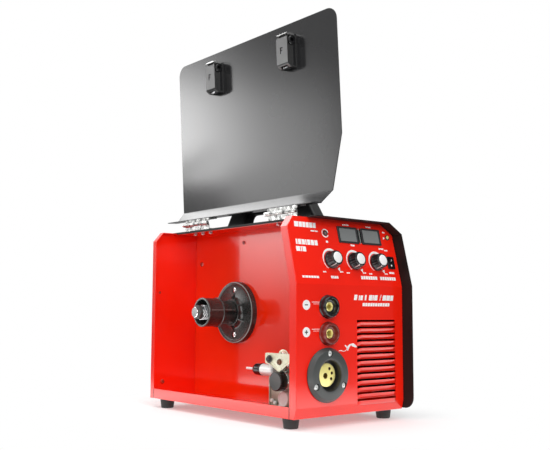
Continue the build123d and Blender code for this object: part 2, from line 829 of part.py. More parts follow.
def inlet_liner():
    """The white tube that leads the wire from the spool into the rolls."""
    with BuildPart() as liner:
        with BuildSketch(side_plane(-6.5)):
            with Locations((WIRE_X, WIRE_Z)):
                Circle(2.0)
                Circle(1.1, mode=Mode.SUBTRACT)
        extrude(amount=74)
    save(liner, "inlet_liner")


def outlet_guide():
    """The brass tube that leads the wire from the rolls to the torch connector."""
    with BuildPart() as guide:
        with BuildSketch(side_plane(-134)):
            with Locations((WIRE_X, WIRE_Z)):
                Circle(3.5)
                Circle(1.1, mode=Mode.SUBTRACT)
        extrude(amount=-134 - EURO_REAR_Y)
    save(guide, "outlet_guide")


def feed_motor():
    """The feed motor with its gearbox, reaching through the partition behind the feeder."""
    gearbox_front = PLATE_X + 3
    with BuildPart() as motor:
        with BuildSketch(across_plane(gearbox_front)):
            with Locations((ROLL_Y, DRIVE_Z)):
                Circle(28)
        extrude(amount=PARTITION_X - gearbox_front - 0.3)
        with BuildSketch(across_plane(gearbox_front)):
            with Locations((ROLL_Y, DRIVE_Z)):
                Circle(MOTOR_R)
        extrude(amount=82)
        with BuildSketch(across_plane(gearbox_front)):
            with Locations((ROLL_Y, DRIVE_Z)):
                Circle(SHAFT_R + RUNNING_GAP)
        extrude(amount=18.5, mode=Mode.SUBTRACT)
    save(motor, "feed_motor")


def drive_shaft():
    """The gearbox's output shaft, which carries the drive roll."""
    with BuildPart() as shaft:
        with BuildSketch(across_plane(-29.0)):
            with Locations((ROLL_Y, DRIVE_Z)):
                Circle(SHAFT_R)
        extrude(amount=-43)
    save(shaft, "drive_shaft")


def roll_profile(y, z, bore):
    """The half section of a wire roll as plane, axis and points, with a groove for the wire."""
    plane = Plane(origin=(0, y, z), x_dir=(1, 0, 0), z_dir=(0, -1, 0))
    points = [
        (WIRE_X + 5.6, bore),
        (WIRE_X + 5.6, ROLL_R),
        (WIRE_X + 0.6, ROLL_R),
        (WIRE_X, ROLL_R - 0.6),
        (WIRE_X - 0.6, ROLL_R),
        (WIRE_X - 5.6, ROLL_R),
        (WIRE_X - 5.6, bore),
    ]
    return plane, Axis((0, y, z), (1, 0, 0)), points


def drive_roll():
    """The grooved roll that pulls the wire."""
    plane, axis, points = roll_profile(ROLL_Y, DRIVE_Z, SHAFT_R)
    with BuildPart() as roll:
        with BuildSketch(plane):
            with BuildLine():
                Polyline(*points, close=True)
            make_face()
        revolve(axis=axis)
    save(roll, "drive_roll")


def pressure_roller():
    """The free roller that the arm presses onto the wire."""
    plane, axis, points = roll_profile(ROLL_Y, PRESSURE_Z, 3.0 + RUNNING_GAP)
    with BuildPart() as roll:
        with BuildSketch(plane):
            with BuildLine():
                Polyline(*points, close=True)
            make_face()
        revolve(axis=axis)
    save(roll, "pressure_roller")


def drive_roll_cap():
    """The knurled cap that holds the drive roll on its shaft."""
    with BuildPart() as cap:
        with BuildSketch(across_plane(WIRE_X - 6.0)):
            with Locations((ROLL_Y, DRIVE_Z)):
                Circle(15.5)
                with PolarLocations(16.0, 24):
                    Circle(0.9, mode=Mode.SUBTRACT)
        extrude(amount=-15)
        with BuildSketch(across_plane(WIRE_X - 6.0)):
            with Locations((ROLL_Y, DRIVE_Z)):
                Circle(SHAFT_R)
        extrude(amount=-72 - (WIRE_X - 6.0), mode=Mode.SUBTRACT)
    save(cap, "drive_roll_cap")


def pressure_arm():
    """The pressure arm: a V-shaped plate with the roller's axle and the tension screw's lug."""
    with BuildPart() as arm:
        with BuildSketch(across_plane(ARM_FACE_X)) as side:
            with BuildLine():
                Polyline(
                    (-163, 100),
                    (-163, 109),
                    (-70, 109),
                    (-70, 93),
                    (-84, 92),
                    (-107, 80.5),
                    (-124, 92),
                    close=True,
                )
            make_face()
            with Locations((ROLL_Y - 4, 106)):
                Circle(10)
            with Locations(ARM_PIVOT):
                Circle(3.0 + RUNNING_GAP, mode=Mode.SUBTRACT)
        extrude(amount=3)
        with BuildSketch(across_plane(ARM_FACE_X)):
            with Locations((ROLL_Y, PRESSURE_Z)):
                Circle(3.0)
        extrude(amount=17)
        with BuildSketch(across_plane(ARM_FACE_X - 1.6)):
            with Locations((ROLL_Y, PRESSURE_Z)):
                Circle(4.6)
        extrude(amount=1.6)
        with BuildSketch(Plane.XY.offset(103)):
            with Locations((ARM_FACE_X + 10, -156)):
                Rectangle(15, 14)
        extrude(amount=6)
        with BuildSketch(Plane.XY.offset(103)):
            with Locations((WIRE_X, -156)):
                Circle(3.0 + RUNNING_GAP)
        extrude(amount=6, mode=Mode.SUBTRACT)
    save(arm, "pressure_arm")


def tension_knob():
    """The hand screw that sets the rollers' pressure."""
    with BuildPart() as knob:
        with Locations((WIRE_X, -156, 109.2)):
            Cylinder(8, 26, align=(Align.CENTER, Align.CENTER, Align.MIN))
        with Locations((WIRE_X, -156, 90)):
            Cylinder(3.0, 20, align=(Align.CENTER, Align.CENTER, Align.MIN))
        top = knob.edges().group_by(Axis.Z)[-1]
        fillet(top, radius=2.5)
    save(knob, "tension_knob")


def socket_shell(centre, name):
    """A panel socket's insulating shell: a collar in front and a threaded sleeve behind."""
    plane = Plane(origin=(centre[0], 0, centre[1]), x_dir=(0, 1, 0), z_dir=(1, 0, 0))
    with BuildPart() as shell:
        with BuildSketch(plane):
            with BuildLine():
                Polyline(
                    (FRONT_Y - 11.5, SOCKET_R),
                    (FRONT_Y - 11.5, 15.5),
                    (FRONT_Y - 9.5, 17.4),
                    (FRONT_Y - 1.5, 18.0),
                    (FRONT_Y, 18.0),
                    (FRONT_Y, 12.9),
                    (FRONT_Y + 22, 12.9),
                    (FRONT_Y + 22, SOCKET_R),
                    close=True,
                )
            make_face()
        revolve(axis=Axis((centre[0], 0, centre[1]), (0, 1, 0)))
    save(shell, name)


def socket_inserts():
    """The brass bodies of the two panel sockets, each bored for a welding lead's plug."""
    with BuildPart() as inserts:
        with BuildSketch(side_plane(FRONT_Y + 34)):
            with Locations(MINUS_SOCKET, PLUS_SOCKET):
                Circle(SOCKET_R)
        extrude(amount=38)
        with BuildSketch(side_plane(FRONT_Y - 4)):
            with Locations(MINUS_SOCKET, PLUS_SOCKET):
                Circle(SOCKET_BORE_R)
        extrude(amount=-26, mode=Mode.SUBTRACT)
    save(inserts, "socket_inserts")


def euro_flange():
    """The torch connector's conical flange with its insulating well."""
    plane = Plane(origin=(EURO[0], 0, EURO[1]), x_dir=(0, 1, 0), z_dir=(1, 0, 0))
    with BuildPart() as flange:
        with BuildSketch(plane):
            with BuildLine():
                Polyline(
                    (FRONT_Y, 41.8),
                    (FRONT_Y - 2.5, 41.8),
                    (FRONT_Y - 8.0, 38.0),
                    (FRONT_Y - 9.5, 36.5),
                    (FRONT_Y - 9.5, 24.0),
                    (FRONT_Y + 6.0, 23.0),
                    (FRONT_Y + 6.0, EURO_NECK_R),
                    (FRONT_Y + 12.0, EURO_NECK_R),
                    (FRONT_Y + 12.0, 25.7),
                    (FRONT_Y, 25.7),
                    close=True,
                )
            make_face()
        revolve(axis=Axis((EURO[0], 0, EURO[1]), (0, 1, 0)))
        with BuildSketch(side_plane(FRONT_Y - 12)):
            with Locations(EURO):
                with PolarLocations(EURO_SCREW_R, 3, start_angle=90):
                    Circle(5.4)
        extrude(amount=-11.4, mode=Mode.SUBTRACT)
    save(flange, "euro_flange")


def euro_body():
    """The brass centre of the torch connector with its wire bore and three contact bores."""
    with BuildPart() as body:
        with BuildSketch(side_plane(FRONT_Y)):
            with Locations(EURO):
                Circle(18.4)
        extrude(amount=-6)
        with BuildSketch(side_plane(FRONT_Y + 6)):
            with Locations(EURO):
                Circle(EURO_NECK_R)
        extrude(amount=-(EURO_REAR_Y - FRONT_Y - 6))
        with BuildSketch(side_plane(FRONT_Y)):
            with Locations((EURO[0] - 3.0, EURO[1] - 1.0)):
                Circle(EURO_BORE_R)
        extrude(amount=-20, mode=Mode.SUBTRACT)
        with BuildSketch(side_plane(FRONT_Y)):
            with Locations(EURO):
                Circle(1.6)
        extrude(amount=-40, mode=Mode.SUBTRACT)
        with BuildSketch(side_plane(FRONT_Y)):
            with Locations(EURO):
                with PolarLocations(10.0, 3, start_angle=-45, angular_range=110, endpoint=True):
                    Circle(1.9)
        extrude(amount=-5.5, mode=Mode.SUBTRACT)
    save(body, "euro_body")


def flange_screws():
    """Three screws that hold the torch connector's flange, and two that hold the spool hub's."""
    with BuildPart() as screws:
        with BuildSketch(side_plane(FRONT_Y - 0.6)):
            with Locations(EURO):
                with PolarLocations(EURO_SCREW_R, 3, start_angle=90):
                    Circle(5.0)
        extrude(amount=3.0)
        with BuildSketch(across_plane(PARTITION_X - 5.2)):
            with Locations((HUB_Y, HUB_Z)):
                with PolarLocations(HUB_SCREW_R, 2, start_angle=90):
                    Circle(5.2)
        extrude(amount=-3.2)
        with BuildSketch(across_plane(PARTITION_X - 5.2)):
            with Locations((HUB_Y, HUB_Z)):
                with PolarLocations(HUB_SCREW_R, 2, start_angle=90):
                    Circle(2.9)
        extrude(amount=13.8)
    save(screws, "flange_screws")


def display_bezel():
    """The dark frame that holds both display windows in the control face."""
    with BuildPart() as bezel:
        with BuildSketch(lean_plane(sum(DISPLAY_XS) / 2, DISPLAY_Z)):
            Rectangle(99, 28)
            with GridLocations(DISPLAY_XS[1] - DISPLAY_XS[0], 1, 2, 1):
                Rectangle(*WINDOW_SIZE, mode=Mode.SUBTRACT)
        extrude(amount=1.4)
        with BuildSketch(lean_plane(sum(DISPLAY_XS) / 2, DISPLAY_Z)):
            Rectangle(94.6, 22.6)
            with GridLocations(DISPLAY_XS[1] - DISPLAY_XS[0], 1, 2, 1):
                Rectangle(WINDOW_SIZE[0] - 4, WINDOW_SIZE[1] - 4, mode=Mode.SUBTRACT)
        extrude(amount=-6)
    save(bezel, "display_bezel")


def display_windows():
    """Two clear windows over the digital readouts."""
    with BuildPart() as windows:
        with BuildSketch(lean_plane(sum(DISPLAY_XS) / 2, DISPLAY_Z)):
            with GridLocations(DISPLAY_XS[1] - DISPLAY_XS[0], 1, 2, 1):
                Rectangle(*WINDOW_SIZE)
        extrude(amount=1.0)
    save(windows, "display_windows")


def indicator_lamps():
    """The fault lamp and the power lamp: a domed lens in a collar each."""
    with BuildPart() as lamps:
        for place in (FAULT_LAMP, POWER_LAMP):
            with BuildSketch(lean_plane(*place)):
                Circle(4.6)
            extrude(amount=1.0)
            with BuildSketch(lean_plane(*place).offset(1.0)):
                Circle(3.1)
            extrude(amount=1.4, taper=25)
            with BuildSketch(lean_plane(*place)):
                Circle(3.1)
            extrude(amount=-8)
    save(lamps, "indicator_lamps")


def mode_switch_body():
    """The welding mode switch's frame, snapped into the control face."""
    with BuildPart() as body:
        with BuildSketch(lean_plane(*MODE_SWITCH)):
            Rectangle(16.8, 21.0)
        extrude(amount=1.6)
        with BuildSketch(lean_plane(*MODE_SWITCH)):
            Rectangle(13.0, 18.0)
        extrude(amount=-14)
        with BuildSketch(lean_plane(*MODE_SWITCH)):
            Rectangle(11.0, 16.0)
        extrude(amount=12, both=True, mode=Mode.SUBTRACT)
    save(body, "mode_switch_body")


def rocker(plane, width, length, name):
    """A rocker on a round pivot along the plane's X axis, at rest with its lower end pressed in."""
    half = length / 2
    tilt = math.radians(ROCKER_TILT)
    lengthways = plane.y_dir * math.cos(tilt) + plane.z_dir * math.sin(tilt)
    with BuildPart() as cap:
        with BuildSketch(Plane(origin=plane.origin, x_dir=lengthways, z_dir=plane.x_dir)):
            with BuildLine():
                Polyline(
                    (-half, 2.8),
                    (0, 1.4),
                    (half, 2.8),
                    (half - 1.5, -3.5),
                    (0, -6.0),
                    (1.5 - half, -3.5),
                    close=True,
                )
            make_face()
        extrude(amount=width / 2, both=True)
        with BuildSketch(Plane(origin=plane.origin, x_dir=lengthways, z_dir=plane.x_dir)):
            Circle(1.2)
        extrude(amount=width / 2 + 0.3, both=True)
    save(cap, name)


def dial_potentiometers():
    """Three potentiometers behind the control face, each with a threaded bush through it."""
    with BuildPart() as pots:
        for x in DIAL_XS:
            with BuildSketch(lean_plane(x, DIAL_Z)):
                Circle(3.8)
                Circle(3.0 + RUNNING_GAP, mode=Mode.SUBTRACT)
            extrude(amount=3.0)
            with BuildSketch(lean_plane(x, DIAL_Z)):
                Circle(3.8)
                Circle(3.0 + RUNNING_GAP, mode=Mode.SUBTRACT)
            extrude(amount=-4.0)
            with BuildSketch(lean_plane(x, DIAL_Z).offset(-4.0)):
                Circle(8.5)
                Circle(3.0 + RUNNING_GAP, mode=Mode.SUBTRACT)
            extrude(amount=-9.0)
    save(pots, "dial_potentiometers")


def dial_knob(x, name):
    """A fluted pointer knob with its spindle."""
    with BuildPart() as knob:
        with BuildSketch(lean_plane(x, DIAL_Z).offset(0.6)):
            Circle(14.4)
        extrude(amount=5)
        with BuildSketch(lean_plane(x, DIAL_Z).offset(5.6)):
            Circle(12.9)
            with PolarLocations(13.9, 18):
                Circle(1.5, mode=Mode.SUBTRACT)
        extrude(amount=10.6, taper=3)
        with BuildSketch(lean_plane(x, DIAL_Z)):
            Circle(5.0)
        extrude(amount=3.6, mode=Mode.SUBTRACT)
        with BuildSketch(lean_plane(x, DIAL_Z).offset(-12)):
            Circle(3.0)
        extrude(amount=16)
    save(knob, name)


def fan_frame():
    """The cooling fan's square housing behind the rear panel."""
    with BuildPart() as frame:
        with BuildSketch(side_plane(REAR_Y - SHEET - 25)):
            with Locations(FAN):
                Rectangle(92, 92)
                Circle(43, mode=Mode.SUBTRACT)
        extrude(amount=-25)
        with BuildSketch(side_plane(REAR_Y - SHEET - 25)):
            with Locations(FAN):
                Circle(17)
                Rectangle(90, 5)
                Rectangle(5, 90)
                Circle(FAN_SHAFT_R + RUNNING_GAP, mode=Mode.SUBTRACT)
        extrude(amount=-3)
    save(frame, "fan_frame")


def fan_rotor():
    """The fan's hub and seven pitched blades, on its own spindle."""
    middle = REAR_Y - SHEET - 12
    with BuildPart() as rotor:
        with BuildSketch(side_plane(middle - 8)):
            with Locations(FAN):
                Circle(17)
        extrude(amount=-16)
        with BuildSketch(side_plane(REAR_Y - SHEET - 25)):
            with Locations(FAN):
                Circle(FAN_SHAFT_R)
        extrude(amount=-6)
        for blade in range(FAN_BLADES):
            turn = 360 / FAN_BLADES * blade
            angle = math.radians(turn)
            across = Vector(math.cos(angle), 0, math.sin(angle))
            root = Vector(FAN[0], middle, FAN[1]) + across * 15
            place = Plane(origin=root, x_dir=Vector(-math.sin(angle), 0.9, math.cos(angle)), z_dir=across)
            with BuildSketch(place):
                Rectangle(18, 1.8)
            extrude(amount=25)
    save(rotor, "fan_rotor")


def fan_guard():
    """The guard over the fan's opening: rings joined by spokes, with four corner eyes."""
    with BuildPart() as guard:
        with BuildSketch(rear_plane()):
            with Locations((-FAN[0], FAN[1])):
                for radius in (8, 17, 26, 35, 44):
                    Circle(radius)
                    Circle(radius - 2, mode=Mode.SUBTRACT)
                with PolarLocations(27, 4, start_angle=45):
                    Rectangle(60, 2)
                with PolarLocations(58, 4, start_angle=45):
                    Circle(4)
                with PolarLocations(58, 4, start_angle=45):
                    Circle(2, mode=Mode.SUBTRACT)
        extrude(amount=2)
    save(guard, "fan_guard")


def mains_switch_body():
    """The mains switch's frame in the rear panel."""
    with BuildPart() as body:
        with BuildSketch(rear_plane()):
            with Locations((-MAINS_SWITCH[0], MAINS_SWITCH[1])):
                Rectangle(26, 32)
        extrude(amount=2)
        with BuildSketch(rear_plane()):
            with Locations((-MAINS_SWITCH[0], MAINS_SWITCH[1])):
                Rectangle(22, 28)
        extrude(amount=-24)
        with BuildSketch(rear_plane()):
            with Locations((-MAINS_SWITCH[0], MAINS_SWITCH[1])):
                Rectangle(18, 25)
        extrude(amount=14, both=True, mode=Mode.SUBTRACT)
    save(body, "mains_switch_body")


def gas_inlet():
    """The shielding gas hose barb on the rear panel."""
    plane = Plane(origin=(GAS_INLET[0], 0, GAS_INLET[1]), x_dir=(0, 1, 0), z_dir=(1, 0, 0))
    with BuildPart() as inlet:
        with BuildSketch(plane):
            with BuildLine():
                Polyline(
                    (REAR_Y - 12, 2.5),
                    (REAR_Y - 12, 5.0),
                    (REAR_Y, 5.0),
                    (REAR_Y, 8.5),
                    (REAR_Y + 4, 8.5),
                    (REAR_Y + 4, GAS_PIN_R),
                    (REAR_Y + 20, GAS_PIN_R),
                    (REAR_Y + 20, 2.5),
                    close=True,
                )
            make_face()
        revolve(axis=Axis((GAS_INLET[0], 0, GAS_INLET[1]), (0, 1, 0)))
    save(inlet, "gas_inlet")


def gas_valve():
    """The solenoid valve on the gas inlet's inner end."""
    with BuildPart() as valve:
        with BuildSketch(side_plane(REAR_Y - 12)):
            with Locations(GAS_INLET):
                Rectangle(22, 22)
                Circle(2.0, mode=Mode.SUBTRACT)
        extrude(amount=30)
        with BuildSketch(Plane.XY.offset(GAS_INLET[1] - 11)):
            with Locations((GAS_INLET[0], REAR_Y - 27)):
                Circle(10)
        extrude(amount=-30)
    save(valve, "gas_valve")


def cable_gland():
    """The mains cable's gland in the rear panel."""
    with BuildPart() as gland:
        with BuildSketch(rear_plane()):
            with Locations((-CABLE_GLAND[0], CABLE_GLAND[1])):
                RegularPolygon(12.5, 6)
        extrude(amount=6)
        with BuildSketch(rear_plane()):
            with Locations((-CABLE_GLAND[0], CABLE_GLAND[1])):
                Circle(10)
        extrude(amount=16)
        with BuildSketch(rear_plane()):
            with Locations((-CABLE_GLAND[0], CABLE_GLAND[1])):
                Circle(9)
        extrude(amount=-10)
        with BuildSketch(rear_plane().offset(16)):
            with Locations((-CABLE_GLAND[0], CABLE_GLAND[1])):
                Circle(GLAND_BORE_R)
        extrude(amount=-26, mode=Mode.SUBTRACT)
    save(gland, "cable_gland")


def control_board():
    """The circuit board behind the displays and the two right-hand dials."""
    with BuildPart() as board:
        with BuildSketch(lean_plane(48, 281).offset(-15)):
            Rectangle(120, 68)
        extrude(amount=-1.6)
    save(board, "control_board")


def transformer():
    """The main transformer: a ferrite frame around a wound coil, standing on the floor."""
    with BuildPart() as core:
        with BuildSketch(Plane.XY.offset(FLOOR_TOP)):
            with Locations((62, 0)):
                Rectangle(84, 60)
        extrude(amount=18)
        with BuildSketch(Plane.XY.offset(FLOOR_TOP + 58)):
            with Locations((62, 0)):
                Rectangle(84, 60)
        extrude(amount=18)
        with BuildSketch(Plane.XY.offset(FLOOR_TOP + 18)):
            with Locations((62, 0)):
                Circle(27)
            with Locations((28, 0), (96, 0)):
                Rectangle(12, 60)
        extrude(amount=40)
    save(core, "transformer")


def heat_sinks():
    """Two finned aluminium heat sinks that carry the power board."""
    with BuildPart() as sinks:
        for x in (22, 84):
            with BuildSketch(Plane.XY.offset(FLOOR_TOP)):
                with Locations((x, 105)):
                    Rectangle(52, 110)
            extrude(amount=8)
            with BuildSketch(Plane.XY.offset(FLOOR_TOP + 8)):
                with Locations((x, 105)):
                    with GridLocations(8, 1, 6, 1):
                        Rectangle(2.4, 110)
            extrude(amount=70)
    save(sinks, "heat_sinks")


def power_board():
    """The inverter's board on the heat sinks, with its row of capacitors."""
    height = FLOOR_TOP + 78
    with BuildPart() as board:
        with BuildSketch(Plane.XY.offset(height)):
            with Locations((53, 105)):
                Rectangle(118, 120)
        extrude(amount=2)
        with BuildSketch(Plane.XY.offset(height + 2)):
            with Locations((53, 85)):
                with GridLocations(34, 34, 3, 2):
                    Circle(13)
        extrude(amount=45)
    save(board, "power_board")


SIMPLE = (
    base_tray, front_panel, rear_panel, rubber_feet, foot_screws, partition_wall, top_side_cover, cover_screws,
    carry_handle, hinge_fixed_leaves, hinge_moving_leaves, hinge_pins, hinge_screws, lid_panel, latch_housings,
    hub_flange, hub_spindle, hub_barrel, hub_spring, hub_adjuster_nut,
    feeder_plate, inlet_collar, inlet_liner, outlet_guide, feed_motor, drive_shaft, drive_roll, drive_roll_cap,
    pressure_arm, pressure_roller, tension_knob, socket_inserts, euro_flange, euro_body, flange_screws,
    display_bezel, display_windows, indicator_lamps, mode_switch_body, dial_potentiometers, fan_frame, fan_rotor, fan_guard,
    mains_switch_body, gas_inlet, gas_valve, cable_gland, control_board, transformer, heat_sinks, power_board,
)
for make in SIMPLE:
    make()
for y, end in zip(LATCH_YS, ("front", "rear")):
    latch_slide(y, f"latch_slide_{end}")
socket_shell(MINUS_SOCKET, "negative_socket_shell")
socket_shell(PLUS_SOCKET, "positive_socket_shell")
rocker(lean_plane(*MODE_SWITCH), 10.2, 13.2, "mode_rocker")
rocker(rear_plane().shift_origin((MAINS_SWITCH[0], REAR_Y, MAINS_SWITCH[1])), 17.2, 21.4, "mains_rocker")
for x, place in zip(DIAL_XS, ("left", "middle", "right")):
    dial_knob(x, f"dial_knob_{place}")
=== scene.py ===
import json
import math

import bmesh
import bpy
from mathutils import Matrix, Vector


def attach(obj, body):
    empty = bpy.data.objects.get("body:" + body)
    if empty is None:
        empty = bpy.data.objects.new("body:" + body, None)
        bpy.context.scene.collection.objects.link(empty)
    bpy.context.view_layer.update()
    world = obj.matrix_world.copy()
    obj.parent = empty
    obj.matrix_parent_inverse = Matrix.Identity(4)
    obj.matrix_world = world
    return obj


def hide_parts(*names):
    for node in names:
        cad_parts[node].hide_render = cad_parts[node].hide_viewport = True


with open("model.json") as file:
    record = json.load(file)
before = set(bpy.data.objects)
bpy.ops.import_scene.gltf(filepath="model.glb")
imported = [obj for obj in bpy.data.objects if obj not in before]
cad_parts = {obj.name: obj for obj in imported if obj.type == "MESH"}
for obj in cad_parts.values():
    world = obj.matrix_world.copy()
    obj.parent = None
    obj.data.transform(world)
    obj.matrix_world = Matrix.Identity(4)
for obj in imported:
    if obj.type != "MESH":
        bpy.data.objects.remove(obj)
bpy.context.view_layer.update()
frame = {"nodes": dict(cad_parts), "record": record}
nodes = frame["nodes"]

MM = 0.001

# Places and sizes in millimetres

FRONT_Y = -206.5
BEND_Z = 219.1
LEAN_SLOPE = 26.4 / 108.1
TOP_Z = 327.2
PARTITION_X = -21.1
LEFT_X = -120.0
FOOT = (102.7, -174.8, 172.9)
EURO = (-57.1, 79.9)
EURO_SCREW_R = 33.0
MINUS = (-55.2, 184.5)
PLUS = (-55.2, 143.2)
SIGN_X = -99.4
VENT_CENTRE = (54.4, 99.5)
VENT_PITCH = 10.37
VENT_COUNT = 13
VENT_WIDTH = 90.0
VENT_GAP = 4.4
DIAL_XS = (-38.2, 13.7, 65.6)
DIAL_Z = 258.3
DISPLAY_XS = (9.3, 62.7)
DISPLAY_Z = 301.4
FAULT_LAMP = (-41.3, 301.6)
POWER_LAMP = (103.6, 302.9)
MODE_SWITCH = (100.4, 259.1)
HINGE = (-78.0, 338.2)
HINGE_YS = (-119.0, 126.0)
HINGE_SCREW_X = -60.5
OPEN_ANGLE = 176.74
LATCH_YS = (-114.0, 94.0)
LATCH_Z = (38.5, 93.5)
LATCH_MIDDLE = sum(LATCH_Z) / 2
LATCH_HALF = (LATCH_Z[1] - LATCH_Z[0]) / 2
HUB = (68.0, 175.1)
HUB_SCREW_R = 40.5
HUB_END_X = -102.2
HUB_CUP_X = -78.0
BRAKE_SPRING_R = 12.2
WIRE_X = -57.1
WIRE_Z = 79.9
ROLL_Y = -107.0
DRIVE_Z = 64.5
PRESSURE_Z = 95.3
PLATE_X = -50.0
ARM_PIVOT = (-81.5, 99.0)
ARM_FACE_X = -68.5
INLET_YS = (-77.0, -51.0, -31.0)
LOWER_BOSS = (-106.0, 35.5)
LINER_YS = (-78.0, -6.5)
TENSION_Y = -156.0
REAR_WALL_Y = 205.0
# Each partition screw: y, z and radius
PARTITION_SCREWS = ((185.0, 268.2, 4.5), (51.2, 302.1, 3.4))
# Each rear wall screw: x, z, radius, height and the turn of its slots in degrees
REAR_WALL_SCREWS = ((-104.0, 212.0, 2.6, 1.4, 10), (-94.7, 44.8, 4.2, 2.6, 20))
# Turns in degrees of the torch connector's screws and contact holes, and where its wire bore is
THIRDS = (90, 210, 330)
CONTACT_TURNS = (-33, 14, 60)
CONTACT_R = 11.0
WIRE_BORE = (-3.0, -1.0)

# The camera's place in metres, and its yaw, pitch and roll in degrees

CAMERA_PLACE = (-0.9352, -1.1348, 0.1762)
CAMERA_TURNS = (39.789, 6.063, 0.233)
CAMERA_LENS = 53.56


def make_camera():
    yaw, pitch, roll = (math.radians(angle) for angle in CAMERA_TURNS)
    ahead = Vector((math.sin(yaw) * math.cos(pitch), math.cos(yaw) * math.cos(pitch), math.sin(pitch)))
    level = Vector((math.cos(yaw), -math.sin(yaw), 0))
    above = level.cross(ahead)
    right = level * math.cos(roll) + above * math.sin(roll)
    up = above * math.cos(roll) - level * math.sin(roll)
    camera = bpy.data.objects.new("camera", bpy.data.cameras.new("camera"))
    bpy.context.scene.collection.objects.link(camera)
    place = Matrix((right, up, -ahead)).transposed().to_4x4()
    place.translation = Vector(CAMERA_PLACE)
    camera.matrix_world = place
    camera.data.lens = CAMERA_LENS
    camera.data.sensor_width = 36
    camera.data.clip_start = 0.05
    camera.data.clip_end = 50
    bpy.context.scene.camera = camera


# Materials


def new_material(name):
    material = bpy.data.materials.new(name)
    material.use_nodes = True
    tree = material.node_tree
    shader = tree.nodes["Principled BSDF"]
    return material, tree, shader


def add_node(tree, kind, inputs, **settings):
    """A shader node. Each input takes a value, or a link where another node's output is given."""
    node = tree.nodes.new(kind)
    for name, value in settings.items():
        setattr(node, name, value)
    for name, value in inputs.items():
        if isinstance(value, bpy.types.NodeSocket):
            tree.links.new(value, node.inputs[name])
        else:
            node.inputs[name].default_value = value
    return node


def noise_node(tree, scale, detail=3.0, stretch=None):
    """Noise over the object's own coordinates; scale is in waves per metre."""
    place = add_node(tree, "ShaderNodeTexCoord", {}).outputs["Object"]
    if stretch:
        place = add_node(tree, "ShaderNodeMapping", {"Scale": stretch, "Vector": place}).outputs["Vector"]
    return add_node(tree, "ShaderNodeTexNoise",
                    {"Scale": scale, "Detail": detail, "Roughness": 0.5, "Vector": place}).outputs["Fac"]


def map_range(tree, source, start, end, **settings):
    """Maps start[0]..start[1] of a factor to end[0]..end[1]."""
    inputs = {"Value": source, "From Min": start[0], "From Max": start[1], "To Min": end[0], "To Max": end[1]}
    return add_node(tree, "ShaderNodeMapRange", inputs, **settings).outputs["Result"]


def blend_colours(tree, factor, first, second):
    mix = add_node(tree, "ShaderNodeMix", {"A": (*first, 1), "B": (*second, 1), "Factor": factor},
                   data_type="RGBA")
    return mix.outputs["Result"]


def finish_of(name, dark, light, rough, grain=(900, 0.15, 0.0001), metal=0.0, coat=0.0, coat_rough=0.05,
              stretch=None, patch=9.0, gloss=0.5):
    """A finish whose colour and roughness drift over patches and whose surface has a fine grain."""
    material, tree, shader = new_material(name)
    middle = (0.3, 0.7)
    factor = map_range(tree, noise_node(tree, patch), middle, (0.0, 1.0))
    tree.links.new(blend_colours(tree, factor, dark, light), shader.inputs["Base Color"])
    waves, strength, distance = grain
    fine = noise_node(tree, waves, 2.0, stretch)
    tree.links.new(map_range(tree, fine, middle, rough), shader.inputs["Roughness"])
    bump = add_node(tree, "ShaderNodeBump", {"Strength": strength, "Distance": distance, "Height": fine})
    tree.links.new(bump.outputs["Normal"], shader.inputs["Normal"])
    shader.inputs["Metallic"].default_value = metal
    shader.inputs["Specular IOR Level"].default_value = gloss
    shader.inputs["Coat Weight"].default_value = coat
    shader.inputs["Coat Roughness"].default_value = coat_rough
    return material


RED = finish_of("red_gloss_paint", (0.86, 0.0105, 0.0010), (0.90, 0.0130, 0.0016), (0.285, 0.292),
                (900, 0.01, 0.0001), coat=0.5, coat_rough=0.04, gloss=0.3)
BLACK_PAINT = finish_of("black_satin_paint", (0.016, 0.016, 0.017), (0.022, 0.022, 0.023), (0.13, 0.18),
                        (1400, 0.06, 0.00006))
COVER_BLACK = finish_of("black_cover_paint", (0.006, 0.006, 0.006), (0.010, 0.010, 0.009), (0.42, 0.55),
                        (1400, 0.14, 0.0001), gloss=0.22)
BLACK_PLASTIC = finish_of("black_moulded_plastic", (0.012, 0.012, 0.012), (0.020, 0.020, 0.020), (0.35, 0.50),
                          (1800, 0.20, 0.0001))
GLOSS_BLACK = finish_of("black_gloss_plastic", (0.008, 0.008, 0.009), (0.013, 0.013, 0.014), (0.12, 0.20),
                        (700, 0.05, 0.0001), coat=0.1, gloss=0.35)
DARK_RED = finish_of("dark_red_plastic", (0.13, 0.010, 0.006), (0.20, 0.016, 0.009), (0.28, 0.40),
                     (1500, 0.12, 0.0001))
GREY_PLASTIC = finish_of("dark_grey_plastic", (0.046, 0.050, 0.049), (0.060, 0.065, 0.063), (0.34, 0.46),
                         (1800, 0.2, 0.0001), gloss=0.4)
# A lighter grey for thin lines on the hub flange's rim, along the hub sleeve's split edges and round its
# mouth, and between the displays: painted highlights.
HIGHLIGHT_GREY = finish_of("painted_highlight_grey", (0.22, 0.23, 0.22), (0.29, 0.30, 0.28), (0.35, 0.5),
                     (1500, 0.2, 0.0001))
WHITE_PLASTIC = finish_of("white_plastic", (0.80, 0.81, 0.80), (0.88, 0.88, 0.87), (0.25, 0.36),
                          (1200, 0.05, 0.0001))
RUBBER = finish_of("black_rubber", (0.010, 0.010, 0.010), (0.018, 0.018, 0.018), (0.6, 0.8),
                   (1500, 0.35, 0.0002))
ZINC = finish_of("zinc_plate", (0.62, 0.62, 0.60), (0.80, 0.80, 0.78), (0.20, 0.36), (420, 0.12, 0.0001),
                 metal=1.0, stretch=(1, 6, 1), patch=60)
BRIGHT = finish_of("bright_steel", (0.70, 0.70, 0.70), (0.82, 0.82, 0.81), (0.14, 0.24), (700, 0.06, 0.0001),
                   metal=1.0)
SPRING = finish_of("spring_steel", (0.42, 0.42, 0.43), (0.55, 0.55, 0.56), (0.22, 0.34), (900, 0.08, 0.0001),
                   metal=1.0)
